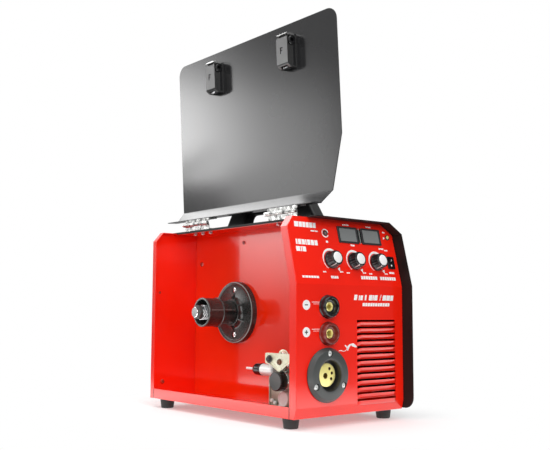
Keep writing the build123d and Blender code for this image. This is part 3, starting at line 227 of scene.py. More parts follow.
BEIGE_ZINC = finish_of("passivated_zinc", (0.62, 0.60, 0.44), (0.76, 0.74, 0.60), (0.26, 0.42),
                       (500, 0.12, 0.0001), metal=0.85, patch=70)
BRASS = finish_of("brass", (0.84, 0.74, 0.24), (0.92, 0.84, 0.36), (0.28, 0.38), (700, 0.05, 0.0001),
                  metal=0.55, patch=30)
ALUMINIUM = finish_of("aluminium", (0.70, 0.71, 0.72), (0.80, 0.81, 0.82), (0.30, 0.45), (500, 0.1, 0.0001),
                      metal=1.0, stretch=(1, 8, 1))
# Black steel; the same dark also stands as painted shade in the connector screws' slots.
DARK_STEEL_AND_SLOT_SHADE = finish_of("black_steel", (0.030, 0.030, 0.032), (0.045, 0.045, 0.047), (0.3, 0.45),
                       (900, 0.1, 0.0001), metal=0.3)
# Bronzed screw heads; the same brown also lines the torch connector's contact holes, where it is painted
# shade.
BROWN_SCREW_AND_HOLE_SHADE = finish_of("bronzed_screw_and_hole_shade", (0.10, 0.045, 0.025), (0.17, 0.08, 0.05), (0.25, 0.4),
                        (900, 0.1, 0.0001), metal=0.8)
FERRITE = finish_of("ferrite", (0.05, 0.05, 0.055), (0.08, 0.08, 0.085), (0.5, 0.7), (600, 0.3, 0.0002))
BOARD = finish_of("circuit_board", (0.010, 0.10, 0.035), (0.02, 0.16, 0.06), (0.25, 0.4), (700, 0.15, 0.0001))
WHITE_INK = finish_of("white_print", (0.86, 0.86, 0.85), (0.92, 0.92, 0.91), (0.35, 0.45),
                      (900, 0.05, 0.00005))
# Black print; the same black also stands as painted shade in screw recesses and in the wire liner's bore.
BLACK_PRINT_AND_SHADE = finish_of("black_print_and_recess_shade", (0.02, 0.02, 0.02), (0.03, 0.03, 0.03), (0.4, 0.5), (900, 0.05, 0.00005))
LAMP_LENS = finish_of("lamp_lens", (0.62, 0.62, 0.14), (0.74, 0.72, 0.22), (0.15, 0.25), (900, 0.05, 0.0001),
                      coat=0.6)
LAMP_DARK = finish_of("dark_lamp_lens", (0.10, 0.04, 0.03), (0.15, 0.07, 0.05), (0.15, 0.25),
                      (900, 0.05, 0.0001), coat=0.6)
WINDOW = finish_of("display_window", (0.19, 0.20, 0.20), (0.24, 0.25, 0.245), (0.10, 0.18),
                   (300, 0.03, 0.0001), coat=0.8)

# The partition's red: its glossy coat is real, but its colour is a lighter copy of the case's red, painted
# light that stands in for more light falling on the partition.
LIGHTER_PARTITION_RED = finish_of("red_mirror_paint_painted_lighter", (0.88, 0.020, 0.0010), (0.92, 0.025, 0.0016), (0.14, 0.20),
                          (200, 0.02, 0.0001), coat=0.6, coat_rough=0.03, gloss=0.4)
RED_SCREW = finish_of("painted_screw", (0.40, 0.020, 0.006), (0.55, 0.03, 0.01), (0.2, 0.3),
                      (900, 0.05, 0.0001), coat=1.0)
HUB_BLACK = finish_of("black_hub_plastic", (0.014, 0.015, 0.014), (0.028, 0.030, 0.028), (0.20, 0.32),
                      (900, 0.16, 0.0002), patch=40, gloss=0.6)
LATCH_GREY = finish_of("latch_plastic", (0.016, 0.016, 0.016), (0.028, 0.028, 0.028), (0.22, 0.32),
                       (1500, 0.25, 0.0001), gloss=0.7)
# A lighter grey given only to each latch's outer face: painted light on the face that the light falls on.
LATCH_LIT_FACE = finish_of("latch_face_painted_lit", (0.13, 0.13, 0.13), (0.19, 0.19, 0.19), (0.35, 0.5),
                       (1500, 0.25, 0.0001))
WHITE_ZINC = finish_of("white_zinc", (0.74, 0.76, 0.74), (0.86, 0.87, 0.85), (0.25, 0.40),
                       (700, 0.10, 0.0001), metal=0.2)
# Hinge zinc: its colour swings in patches from near black to light grey, a painted mottle of reflections on
# the hinge leaves.
HINGE_STEEL = finish_of("zinc_painted_mottled_reflection", (0.06, 0.06, 0.06), (0.70, 0.70, 0.68), (0.16, 0.42),
                        (210, 0.55, 0.0008), metal=0.9, patch=120)
JOINT_RED = finish_of("shaded_joint", (0.16, 0.004, 0.001), (0.22, 0.006, 0.002), (0.4, 0.5),
                      (900, 0.05, 0.0001))
CASTING_GREY = finish_of("grey_casting", (0.66, 0.67, 0.64), (0.78, 0.78, 0.76), (0.4, 0.55),
                         (700, 0.2, 0.0002), metal=0.1)
PLATE_GREY = finish_of("olive_zinc", (0.30, 0.31, 0.25), (0.46, 0.47, 0.38), (0.30, 0.48),
                       (500, 0.15, 0.0001), metal=0.6, patch=60)
# A darker brass that lines the torch connector's wire bore: painted shade inside the bore.
BRASS_BORE_SHADE = finish_of("brass_painted_bore_shade", (0.28, 0.18, 0.04), (0.36, 0.24, 0.06), (0.3, 0.4), (900, 0.1, 0.0001),
                      metal=0.8)

SLOT_FINISH = {
    "red_paint": RED, "black_paint": COVER_BLACK, "black_plastic": BLACK_PLASTIC,
    "black_gloss_plastic": GLOSS_BLACK,
    "dark_red_plastic": DARK_RED, "grey_plastic": GREY_PLASTIC, "white_plastic": WHITE_PLASTIC,
    "rubber": RUBBER,
    "zinc": ZINC, "bright_steel": BRIGHT, "spring_steel": SPRING, "yellow_zinc": BEIGE_ZINC, "brass": BRASS,
    "aluminium": ALUMINIUM, "ferrite": FERRITE, "board_green": BOARD, "smoked_window": WINDOW,
    "lamp_lens": LAMP_LENS, "black_steel": DARK_STEEL_AND_SLOT_SHADE,
}
SLOT_OF = {part["node"]: part["material_slot"] for part in frame["record"]["subparts"]}
BODY_OF = {node: body for body, members in frame["record"]["behaviour"]["bodies"].items() for node in members}

for node, slot_name in SLOT_OF.items():
    shown = nodes[node]
    shown.data.materials.clear()
    shown.data.materials.append(SLOT_FINISH[slot_name])


# Mesh helpers. All of them work in millimetres; make() turns the result into metres.


class Place:
    """An origin with an across direction, an up direction and the direction that faces out."""

    def __init__(self, origin, out, up=(0, 0, 1)):
        self.origin = Vector(origin)
        self.out = Vector(out).normalized()
        self.up = (Vector(up) - self.out * Vector(up).dot(self.out)).normalized()
        self.across = self.up.cross(self.out)

    def at(self, across, up, out=0.0):
        return self.origin + self.across * across + self.up * up + self.out * out

    def moved(self, across, up, out=0.0):
        return Place(self.at(across, up, out), self.out, self.up)

    def ring(self, radius, turns, out=0.0):
        """Places round this one's axis, at turns in degrees."""
        angles = [math.radians(turn) for turn in turns]
        return [self.moved(radius * math.cos(a), radius * math.sin(a), out) for a in angles]

    def sideways(self):
        """The same origin, facing along this place's across direction."""
        return Place(self.origin, self.across, self.up)


ON_HUB = Place((PARTITION_X, *HUB), (-1, 0, 0))
ON_FEEDER = Place((PLATE_X, 0, 0), (-1, 0, 0))
ON_ARM = Place((ARM_FACE_X, 0, 0), (-1, 0, 0))
ON_INLET = Place((WIRE_X, INLET_YS[1], WIRE_Z), (0, 1, 0))


def make(name, mesh, materials, body="case", replaces=(), bevel=None, smooth=35):
    """Turns a mesh in millimetres into a piece that rides on a body and may stand for CAD nodes."""
    bmesh.ops.remove_doubles(mesh, verts=mesh.verts, dist=0.0005)
    bmesh.ops.recalc_face_normals(mesh, faces=mesh.faces)
    bmesh.ops.scale(mesh, vec=(MM, MM, MM), verts=mesh.verts)
    data = bpy.data.meshes.new(name)
    mesh.to_mesh(data)
    mesh.free()
    for material in materials:
        data.materials.append(material)
    data.shade_smooth()
    data.set_sharp_from_angle(angle=math.radians(smooth))
    piece = bpy.data.objects.new(name, data)
    bpy.context.scene.collection.objects.link(piece)
    if bevel:
        rounding = piece.modifiers.new("rounding", "BEVEL")
        rounding.width = bevel * MM
        rounding.segments = 3
        rounding.limit_method = "ANGLE"
        rounding.angle_limit = math.radians(28)
        rounding.use_clamp_overlap = True
        rounding.harden_normals = True
        weighted = piece.modifiers.new("flat_faces_stay_flat", "WEIGHTED_NORMAL")
        weighted.keep_sharp = True
        weighted.weight = 90
    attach(piece, body)
    if replaces:
        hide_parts(*replaces)
    return piece


def loop_faces(mesh, first, second, material, flip=False):
    """Faces between two equal rings of vertices."""
    count = len(first)
    for index in range(count):
        after = (index + 1) % count
        corners = [first[index], first[after], second[after], second[index]]
        face = mesh.faces.new(corners[::-1] if flip else corners)
        face.material_index = material


def turned(mesh, profile, place, steps=64, material=0, closed=False, ripple=None):
    """A turned shape: profile holds (out, radius) pairs along the place's out axis. A radius of 0 is a pole.
    ripple(turn, index) scales the radius at a turn in radians, for flutes and knurls."""
    rings = []
    for index, (out, radius) in enumerate(profile):
        if radius <= 0:
            rings.append([mesh.verts.new(place.at(0, 0, out))])
            continue
        ring = []
        for step in range(steps):
            turn = 2 * math.pi * step / steps
            r = radius * (ripple(turn, index) if ripple else 1)
            ring.append(mesh.verts.new(place.at(r * math.cos(turn), r * math.sin(turn), out)))
        rings.append(ring)
    pairs = list(zip(rings, rings[1:]))
    if closed:
        pairs.append((rings[-1], rings[0]))
    for first, second in pairs:
        if len(first) == 1 or len(second) == 1:
            pole, ring = (first[0], second) if len(first) == 1 else (second[0], first)
            for step in range(steps):
                face = mesh.faces.new((pole, ring[step], ring[(step + 1) % steps]))
                face.material_index = material
        else:
            loop_faces(mesh, first, second, material)


def prism(mesh, outline, place, low, high, material=0):
    """A straight extrusion of a flat outline of (across, up) points, from low to high along out."""
    bottom = [mesh.verts.new(place.at(x, y, low)) for x, y in outline]
    top = [mesh.verts.new(place.at(x, y, high)) for x, y in outline]
    for ring in (bottom[::-1], top):
        face = mesh.faces.new(ring)
        face.material_index = material
    loop_faces(mesh, bottom, top, material)


def tube(mesh, points, radius, sides=12, material=0, closed=False):
    """A round tube along points."""
    rings = []
    up = Vector((0, 0, 1))
    for index, point in enumerate(points):
        ahead = points[(index + 1) % len(points)] if closed else points[min(index + 1, len(points) - 1)]
        behind = points[index - 1] if closed or index else points[0]
        along = (Vector(ahead) - Vector(behind)).normalized()
        side = along.cross(up)
        if side.length < 0.1:
            side = along.cross(Vector((1, 0, 0)))
        side.normalize()
        other = along.cross(side)
        rings.append([
            mesh.verts.new(Vector(point) + (side * math.cos(turn) + other * math.sin(turn)) * radius)
            for turn in (2 * math.pi * step / sides for step in range(sides))
        ])
    for first, second in zip(rings, rings[1:]):
        loop_faces(mesh, first, second, material)
    if closed:
        loop_faces(mesh, rings[-1], rings[0], material)
    else:
        for ring in (rings[0], rings[-1]):
            face = mesh.faces.new(ring)
            face.material_index = material


def circle(radius, steps=32, centre=(0, 0), start=0.0, end=360.0):
    """Points round a circle, or along a part of it, in degrees."""
    full = abs(end - start) >= 360
    spans = steps if full else steps - 1
    turns = [math.radians(start + (end - start) * step / spans) for step in range(steps)]
    return [(centre[0] + radius * math.cos(turn), centre[1] + radius * math.sin(turn)) for turn in turns]


def rectangle(width, height, centre=(0, 0), corner=0.0, steps=5):
    """A rectangle's corners, rounded by arcs where a corner radius is given."""
    w, h = width / 2, height / 2
    x, y = centre
    if corner <= 0:
        return [(x - w, y - h), (x + w, y - h), (x + w, y + h), (x - w, y + h)]
    points = []
    for cx, cy, start in ((w, h, 0), (-w, h, 90), (-w, -h, 180), (w, -h, 270)):
        middle = (x + math.copysign(abs(cx) - corner, cx), y + math.copysign(abs(cy) - corner, cy))
        points += circle(corner, steps, middle, start, start + 90)
    return points


def copied(node):
    """The CAD node's own shape as a mesh in millimetres, its flat faces whole again."""
    mesh = bmesh.new()
    mesh.from_mesh(nodes[node].data)
    bmesh.ops.scale(mesh, vec=(1 / MM, 1 / MM, 1 / MM), verts=mesh.verts)
    bmesh.ops.remove_doubles(mesh, verts=mesh.verts, dist=0.003)
    bmesh.ops.dissolve_limit(mesh, angle_limit=math.radians(0.6), verts=mesh.verts, edges=mesh.edges)
    for face in mesh.faces:
        face.material_index = 0
    return mesh


def carve(mesh, *tools):
    """Cuts each tool mesh out of a mesh, all in millimetres, and returns the result as a new mesh."""
    def as_object(shape):
        bmesh.ops.recalc_face_normals(shape, faces=shape.faces)
        data = bpy.data.meshes.new("cutting")
        shape.to_mesh(data)
        shape.free()
        thing = bpy.data.objects.new("cutting", data)
        bpy.context.scene.collection.objects.link(thing)
        return thing

    body = as_object(mesh)
    cutters = [as_object(tool) for tool in tools]
    for cutter in cutters:
        cut = body.modifiers.new("cut", "BOOLEAN")
        cut.operation = "DIFFERENCE"
        cut.solver = "EXACT"
        cut.object = cutter
    bpy.context.view_layer.update()
    shown = body.evaluated_get(bpy.context.evaluated_depsgraph_get())
    result = bmesh.new()
    result.from_mesh(shown.to_mesh())
    shown.to_mesh_clear()
    for thing in [body] + cutters:
        data = thing.data
        bpy.data.objects.remove(thing)
        bpy.data.meshes.remove(data)
    return result


def drill(place, radius, low, high, steps=32, material=0):
    """A plain cylinder along a place's out axis, as a tool for carve."""
    tool = bmesh.new()
    prism(tool, circle(radius, steps), place, low, high, material)
    return tool


def absorb(mesh, part):
    """Adds a part to a mesh and lets go of the part."""
    data = bpy.data.meshes.new("part")
    part.to_mesh(data)
    part.free()
    mesh.from_mesh(data)
    bpy.data.meshes.remove(data)


def soften(mesh, radius, chosen, segments=4):
    """Rounds the sharp edges for which chosen(middle, length, direction) holds."""
    edges = []
    for edge in mesh.edges:
        if len(edge.link_faces) == 2 and edge.calc_face_angle(0) > math.radians(8):
            first, second = (vert.co for vert in edge.verts)
            if chosen((first + second) / 2, (first - second).length, (second - first).normalized()):
                edges.append(edge)
    bmesh.ops.bevel(mesh, geom=edges, offset=radius, segments=segments, profile=0.5, affect="EDGES",
                    clamp_overlap=True)


# Case


def front_y(z):
    """The front face's place at height z."""
    return FRONT_Y + max(0.0, z - BEND_Z) * LEAN_SLOPE


def on_lean(x, z):
    """A place on the leaning control face."""
    return Place((x, front_y(z), z), (0, -1, LEAN_SLOPE))


def on_front(x, z):
    """A place on the upright lower front face."""
    return Place((x, FRONT_Y, z), (0, -1, 0))


def make_front_panel():
    panel = copied("front_panel")
    louvres = [v for v in panel.verts if v.co.y < FRONT_Y - 0.05 and v.co.z < BEND_Z]
    bmesh.ops.delete(panel, geom=louvres, context="VERTS")
    bmesh.ops.holes_fill(panel, edges=[e for e in panel.edges if e.is_boundary], sides=0)
    soften(panel, 1.5, lambda middle, length, along: length > 12 and (
        middle.x < -119.9 or abs(middle.y - front_y(middle.z)) < 0.05 or middle.z < 16.6) and not (
        10 < middle.x < 100 and 25 < middle.z < 170) and not (middle.z > 230 and -60 < middle.x < 114))
    make("front_panel_shell", panel, [RED], replaces=("front_panel",), bevel=0.2)
    louvres = bmesh.new()
    lowest = VENT_CENTRE[1] - VENT_PITCH * (VENT_COUNT - 1) / 2 - VENT_GAP / 2
    for row in range(VENT_COUNT):
        louvre(louvres, VENT_CENTRE[0] - VENT_WIDTH / 2, lowest + VENT_PITCH * row)
    make("louvre_lips", louvres, [RED], smooth=60)
    joints = bmesh.new()
    for y in (FRONT_Y + 16.0, -FRONT_Y - 12.0):
        prism(joints, rectangle(2.2, 16.6, (-y, 25.3)), Place((LEFT_X, 0, 0), (-1, 0, 0)), -0.8, 0.06)
    make("rail_joints", joints, [JOINT_RED])


def louvre(mesh, left, top):
    """One pressed lip under a slot: it swells out of the sheet and curls back a little at its rim."""
    outside = []
    inside = []
    spans = 28
    for step in range(spans + 1):
        x = left + VENT_WIDTH * step / spans
        edge = min(step, spans - step) / 1.6
        swell = math.sin(min(1.0, edge) * math.pi / 2) ** 0.7
        outer = []
        inner = []
        for turn in range(7):
            rise = turn / 6
            out = 4.0 * swell * math.sin(rise * math.pi / 2) ** 0.85
            height = top - 5.8 + (5.6 + 1.7 * swell) * rise
            outer.append(mesh.verts.new((x, FRONT_Y + 0.3 - out, height)))
            inner.append(mesh.verts.new((x, FRONT_Y + 1.25 - out * 0.98, height - 0.25 * rise)))
        outside.append(outer)
        inside.append(inner)
    for rows in (outside, inside):
        for first, second in zip(rows, rows[1:]):
            for k in range(6):
                mesh.faces.new((first[k], second[k], second[k + 1], first[k + 1]))
    for k in (0, 6):
        for step in range(spans):
            mesh.faces.new((outside[step][k], outside[step + 1][k], inside[step + 1][k], inside[step][k]))
    for end in (0, spans):
        for k in range(6):
            mesh.faces.new((outside[end][k], outside[end][k + 1], inside[end][k + 1], inside[end][k]))


def make_sheets():
    rear = copied("rear_panel")
    soften(rear, 1.4, lambda middle, length, along: length > 10 and (
        middle.y > 206.4 and (abs(middle.x) > 105 or middle.z < 17 or middle.z > 307)))
    make("rear_panel_shell", rear, [RED], replaces=("rear_panel",), bevel=0.2)
    wall = copied("partition_wall")
    # The partition wears the lighter red, which is painted light.
    make("partition_shell", wall, [LIGHTER_PARTITION_RED], replaces=("partition_wall",), bevel=0.25)
    make("base_shell", copied("base_tray"), [RED], replaces=("base_tray",), bevel=0.3)
    cover = copied("top_side_cover")
    soften(cover, 1.6, lambda middle, length, along: length > 200 and abs(along.y) > 0.95)
    make("cover_shell", cover, [COVER_BLACK], replaces=("top_side_cover",), bevel=0.3)
    lid = copied("lid_panel")
    soften(lid, 1.6, lambda middle, length,
           along: length > 200 and abs(along.y) > 0.95 and 320 < middle.z < 400)
    make("lid_shell", lid, [BLACK_PAINT], "lid", replaces=("lid_panel",), bevel=0.3)
    make("handle_shell", copied("carry_handle"), [BLACK_PLASTIC], replaces=("carry_handle",), smooth=45)
    feet = bmesh.new()
    for x in (-FOOT[0], FOOT[0]):
        for y in (FOOT[1], FOOT[2]):
            profile = [(9.0, 2.9), (9.0, 5.5), (0.4, 5.9), (0.0, 6.5), (0.0, 10.4), (0.9, 11.4), (15.5, 13.3),
                       (17.4, 13.5), (18.0, 13.0), (18.0, 2.9)]
            turned(feet, profile, Place((x, y, 0), (0, 0, 1), (1, 0, 0)), steps=40, closed=True)
    make("rubber_foot_set", feet, [RUBBER], replaces=("rubber_feet",), smooth=40)


def pan_head(mesh, place, radius, height, slot_turn, material=0):
    """A domed screw head whose cross recess is drawn as a raised cross in the next material, a painted shade
    of the recess.
    """
    profile = [(-0.3, radius), (height * 0.35, radius), (height * 0.8, radius * 0.8), (height, radius * 0.4),
               (height, 0)]
    turned(mesh, profile, place, steps=24, material=material)
    for turn in (slot_turn, slot_turn + 90):
        a = math.radians(turn)
        w, l = radius * 0.1, radius * 0.62
        corners = [(l, w), (-l, w), (-l, -w), (l, -w)]
        points = [(x * math.cos(a) - y * math.sin(a), x * math.sin(a) + y * math.cos(a)) for x, y in corners]
        prism(mesh, points, place, height * 0.5, height + 0.06, material + 1)


def make_screws():
    heads = bmesh.new()
    for y, z, radius in PARTITION_SCREWS:
        pan_head(heads, Place((PARTITION_X, y, z), (-1, 0, 0)), radius, 2.1, 25)
    for x, z, radius, height, turn in REAR_WALL_SCREWS:
        pan_head(heads, Place((x, REAR_WALL_Y, z), (0, -1, 0)), radius, height, turn)
    # The black crosses on the screw heads are painted shade of their recesses.
    make("compartment_screws", heads, [RED_SCREW, BLACK_PRINT_AND_SHADE])
    tips = bmesh.new()
    for y in HINGE_YS:
        for step in (-25, 0, 25):
            place = Place((HINGE_SCREW_X, y + step, TOP_Z + 1.5), (0, 0, 1), (1, 0, 0))
            profile = [(-9.6, 0), (-9.6, 1.3), (-8.9, 1.9), (0, 1.9), (0, 3.5), (0.9, 3.4), (1.6, 2.4),
                       (1.7, 0)]
            turned(tips, profile, place, steps=20)
            lock = Place((HINGE_SCREW_X, y + step, TOP_Z - 4.7), (0, 0, 1), (1, 0, 0))
            prism(tips, circle(3.6, 6), lock, -2.6, 0)
    make("hinge_screw_set", tips, [SPRING], replaces=("hinge_screws",))
    # The hinge leaves carry the painted mottle of reflections.
    for name in ("hinge_fixed_leaves", "hinge_moving_leaves"):
        make(f"{name}_shell", copied(name), [HINGE_STEEL], BODY_OF[name], replaces=(name,), bevel=0.3)


# Spool hub, on a place that looks out along the hub from the partition


def make_hub_flange():
    flange = bmesh.new()
    profile = [(0, 56.0), (8.4, 56.0), (9.8, 55.6), (10.5, 54.6), (10.6, 53.4), (10.0, 52.0), (9.3, 50.6),
               (9.1, 48.5), (9.1, 31.0), (9.8, 28.4), (12.0, 26.2), (14.5, 25.2), (17.6, 24.6), (18.0, 24.0),
               (18.0, 6.0), (0, 6.0)]
    turned(flange, profile, ON_HUB, steps=120, closed=True)
    holes = [drill(ON_HUB.moved(0, side * HUB_SCREW_R), 6.1, 5.2, 14) for side in (-1, 1)]
    make("hub_flange_disc", carve(flange, *holes), [HUB_BLACK], replaces=("hub_flange",), smooth=24)


def make_hub_details():
    """The flange's rim edge, drawn as a lighter grey band that is a painted highlight, and the six gussets
    round its neck.
    """
    # A painted highlight along the flange's rim.
    rim = bmesh.new()
    turned(rim, [(10.2, 55.3), (10.75, 54.4), (10.75, 53.9), (10.2, 53.3)], ON_HUB, steps=120, closed=True)
    make("hub_rim_painted_highlight", rim, [HIGHLIGHT_GREY], smooth=60)
    gussets = bmesh.new()
    for turn in (30, 90, 150, 210, 270, 330):
        a = math.radians(turn)
        away = ON_HUB.across * math.cos(a) + ON_HUB.up * math.sin(a)
        rib = Place(ON_HUB.origin, ON_HUB.out.cross(away), ON_HUB.out)
        way = 1 if rib.across.dot(away) > 0 else -1
        prism(gussets, [(24.0 * way, 9.0), (24.0 * way, 17.2), (34.0 * way, 9.0)], rib, -1.1, 1.1)
    make("hub_gussets", gussets, [HUB_BLACK], bevel=0.3)


def make_flange_screws():
    """The hub flange's two screws and the torch connector's three."""
    heads = bmesh.new()
    for side in (-1, 1):
        place = ON_HUB.moved(0, side * HUB_SCREW_R, 5.2)
        profile = [(0, 5.0), (2.0, 5.0), (3.0, 4.3), (3.3, 2.6), (2.2, 2.4), (2.0, 0)]
        turned(heads, profile, place, steps=28)
    for place in on_front(*EURO).ring(EURO_SCREW_R, THIRDS, 3.2):
        turned(heads, [(-3.2, 4.9), (2.2, 4.9), (3.4, 4.4), (4.0, 3.0), (4.2, 0)], place, steps=28,
               material=2)
        # Each connector screw's slot is a dark bar on the head: painted shade of the slot.
        prism(heads, [(-1.8, -0.3), (1.8, -0.3), (1.8, 0.3), (-1.8, 0.3)], place, 2.6, 4.26, 1)
    make("flange_screw_heads", heads, [BRIGHT, DARK_STEEL_AND_SLOT_SHADE, WHITE_ZINC], replaces=("flange_screws",))


def make_hub_barrel():
    barrel = bmesh.new()
    reach = PARTITION_X - HUB_END_X
    profile = [(18.4, 6.1), (18.4, 20.0), (19.2, 21.0), (30.0, 20.6), (43.5, 20.6), (45.5, 21.4),
               (47.0, 25.6), (48.0, 26.6), (49.4, 26.6), (50.4, 25.5), (54.0, 25.2), (reach - 6, 25.5),
               (reach - 1.2, 26.0), (reach - 0.3, 25.5), (reach, 24.6), (reach, 22.8), (reach - 0.6, 22.2),
               (56.9, 20.8), (56.9, 6.1)]
    turned(barrel, profile, ON_HUB, steps=96, closed=True)
    slots = []
    for side in (-1, 1):
        slot = bmesh.new()
        place = Place(ON_HUB.at(side * 22, -1.0, 32.5), (0, 0, 1), (1, 0, 0))
        prism(slot, rectangle(14.0, 22), place, -3.2, 3.2)
        slots.append(slot)
    make("hub_sleeve", carve(barrel, *slots), [HUB_BLACK], "spool_barrel", replaces=("hub_barrel",),
         smooth=24, bevel=0.25)
    # Thin lighter grey lines along the sleeve's split edges and a ring round its mouth: painted highlights.
    edge_glints = bmesh.new()
    for side in (-1, 1):
        prism(edge_glints, rectangle(0.5, 0.7, (0, 4.2)), ON_HUB.moved(side * 25.05, 0), 50.0, reach - 0.8)
        prism(edge_glints, rectangle(0.5, 0.6, (0, 4.4)), ON_HUB.moved(side * 20.3, 0), 21.0, 44.0)
    turned(edge_glints, [(reach - 0.5, 25.2), (reach + 0.15, 24.4), (reach + 0.15, 23.4), (reach - 0.5, 22.7)],
           ON_HUB, steps=96, closed=True)
    make("hub_sleeve_painted_highlights", edge_glints, [HIGHLIGHT_GREY], "spool_barrel")


def make_brake():
    """The hand nut with its bright tip, the threaded axle and the spring round it."""
    reach = PARTITION_X - HUB_END_X
    start = reach + 4.0
    nut = bmesh.new()
    profile = [(start, 6.2), (start, 11.0), (start + 0.6, 12.4), (start + 6.6, 12.4), (start + 8.4, 11.0),
               (start + 8.8, 9.8), (start + 8.2, 9.5), (start + 6.8, 6.2)]

    def hexed(turn, index):
        if 2 <= index <= 3:
            sector = (turn % (math.pi / 3)) - math.pi / 6
            return math.cos(math.pi / 6) / math.cos(sector) * 1.12
        return 1

    turned(nut, profile, ON_HUB, steps=72, closed=True, ripple=hexed)
    turned(nut, [(start + 6.0, 0), (start + 6.0, 9.2), (start + 10.2, 9.2), (start + 10.9, 8.4),
                 (start + 11.0, 0)], ON_HUB, steps=40, material=1)
    make("brake_hand_nut", nut, [GREY_PLASTIC, BRIGHT], "brake_nut", replaces=("hub_adjuster_nut",),
         smooth=28)
    spindle = bmesh.new()
    profile = [(0, 0), (0, 5.9)]
    for thread in range(14):
        profile += [(57.5 + thread * 2.0, 5.9), (58.5 + thread * 2.0, 5.2)]
    profile += [(reach + 9, 5.9), (reach + 10, 4.9), (reach + 10, 0)]
    turned(spindle, profile, ON_HUB, steps=32)
    make("hub_axle", spindle, [SPRING], replaces=("hub_spindle",), smooth=50)
    spring = bmesh.new()
    points = []
    turns = 5
    span = (HUB_END_X - 2.2) - (HUB_CUP_X - 1.6)
    for step in range(turns * 28 + 1):
        a = 2 * math.pi * step / 28
        x = HUB_CUP_X - 1.6 + span * step / (turns * 28)
        points.append(Vector((x, HUB[0] + BRAKE_SPRING_R * math.cos(a),
                              HUB[1] + BRAKE_SPRING_R * math.sin(a))))
    tube(spring, points, 1.3, 10)
    make("brake_spring", spring, [SPRING], replaces=("hub_spring",), smooth=60)


# Wire feeder


def make_feeder_casting():
    plate = bmesh.new()
    prism(plate, rectangle(122, 85, (121, 62), 3), ON_FEEDER, -3, 0)
    foot = Place((PLATE_X - 9, -121, 19.5), (0, 0, 1), (0, 1, 0))
    prism(plate, rectangle(18, 122), foot, 0, 2.5)
    for y in (61.4, 180.6):
        prism(plate, rectangle(2.4, 85, (y, 62)), ON_FEEDER, 0, 2.2)
    turned(plate, [(0, 14.5), (1.5, 14.5), (3.0, 13.4), (9.0, 13.0), (10.6, 12.2), (11.0, 10.6), (9.8, 9.6),
                   (9.4, 0)], ON_FEEDER.moved(-LOWER_BOSS[0], LOWER_BOSS[1]), steps=56, material=1)
    for y, z in ((-70, 30), (-78, 27), (-92, 24), (-132, 27)):
        turned(plate, [(0, 3.2), (3.0, 3.2), (3.8, 2.4), (3.8, 0)], ON_FEEDER.moved(-y, z, 2), steps=20,
               material=2)
    length = INLET_YS[1] - INLET_YS[0]
    turned(plate, [(-length - 6, 9.0), (-length, 9.6), (-2.0, 10.0), (-0.5, 9.6), (0, 8.8), (0, 2.2)],
           ON_INLET, steps=48, material=2)
    prism(plate, rectangle(14, 22, (0, 4)), Place((WIRE_X, INLET_YS[0], WIRE_Z), (0, 1, 0)), -8, 4, 2)
    turned(plate, [(0, 5.2), (16.0, 5.2), (16.6, 4.6), (16.6, 3.0), (22, 3.0), (22, 0)],
           ON_FEEDER.moved(-ARM_PIVOT[0], ARM_PIVOT[1]), steps=32, material=3)
    make("feeder_casting", plate, [PLATE_GREY, CASTING_GREY, WHITE_ZINC, BRIGHT], replaces=("feeder_plate",),
         bevel=0.35)
    pivot = bmesh.new()
    turned(pivot, [(18.6, 6.4), (19.8, 6.4), (20.2, 5.8), (20.2, 4.4), (23.0, 4.1), (24.2, 3.0), (24.4, 0)],
           ON_FEEDER.moved(-ARM_PIVOT[0], ARM_PIVOT[1]), steps=32)
    make("arm_pivot_screw", pivot, [DARK_STEEL_AND_SLOT_SHADE])


def make_inlet():
    """The grip on the inlet boss and the wire liner that runs through it."""
    collar = bmesh.new()
    profile = [(0.0, 10.2), (1.4, 10.6), (2.4, 10.2), (3.4, 10.0), (12.0, 10.0), (16.5, 9.5), (19.0, 8.2),
               (20.0, 6.2), (20.0, 2.2), (0, 2.2)]
    turned(collar, profile, ON_INLET, steps=48, closed=True, ripple=lambda turn,
           index: 1 + (0.012 * math.cos(turn * 16) if 3 <= index <= 5 else 0))
    make("inlet_grip", collar, [GLOSS_BLACK], replaces=("inlet_collar",), smooth=40)
    liner = bmesh.new()
    points = [(WIRE_X, LINER_YS[0] + (LINER_YS[1] - LINER_YS[0]) * step / 18, WIRE_Z) for step in range(19)]
    tube(liner, points, 2.1, 20)
    # The liner's mouth and the short bore in it are black: painted shade of the bore.
    turned(liner, [(0, 2.1), (0, 1.0), (-6, 1.0)], Place((WIRE_X, LINER_YS[1], WIRE_Z), (0, 1, 0)), steps=20,
           material=1)
    make("wire_liner", liner, [WHITE_PLASTIC, BLACK_PRINT_AND_SHADE], replaces=("inlet_liner",), smooth=50)


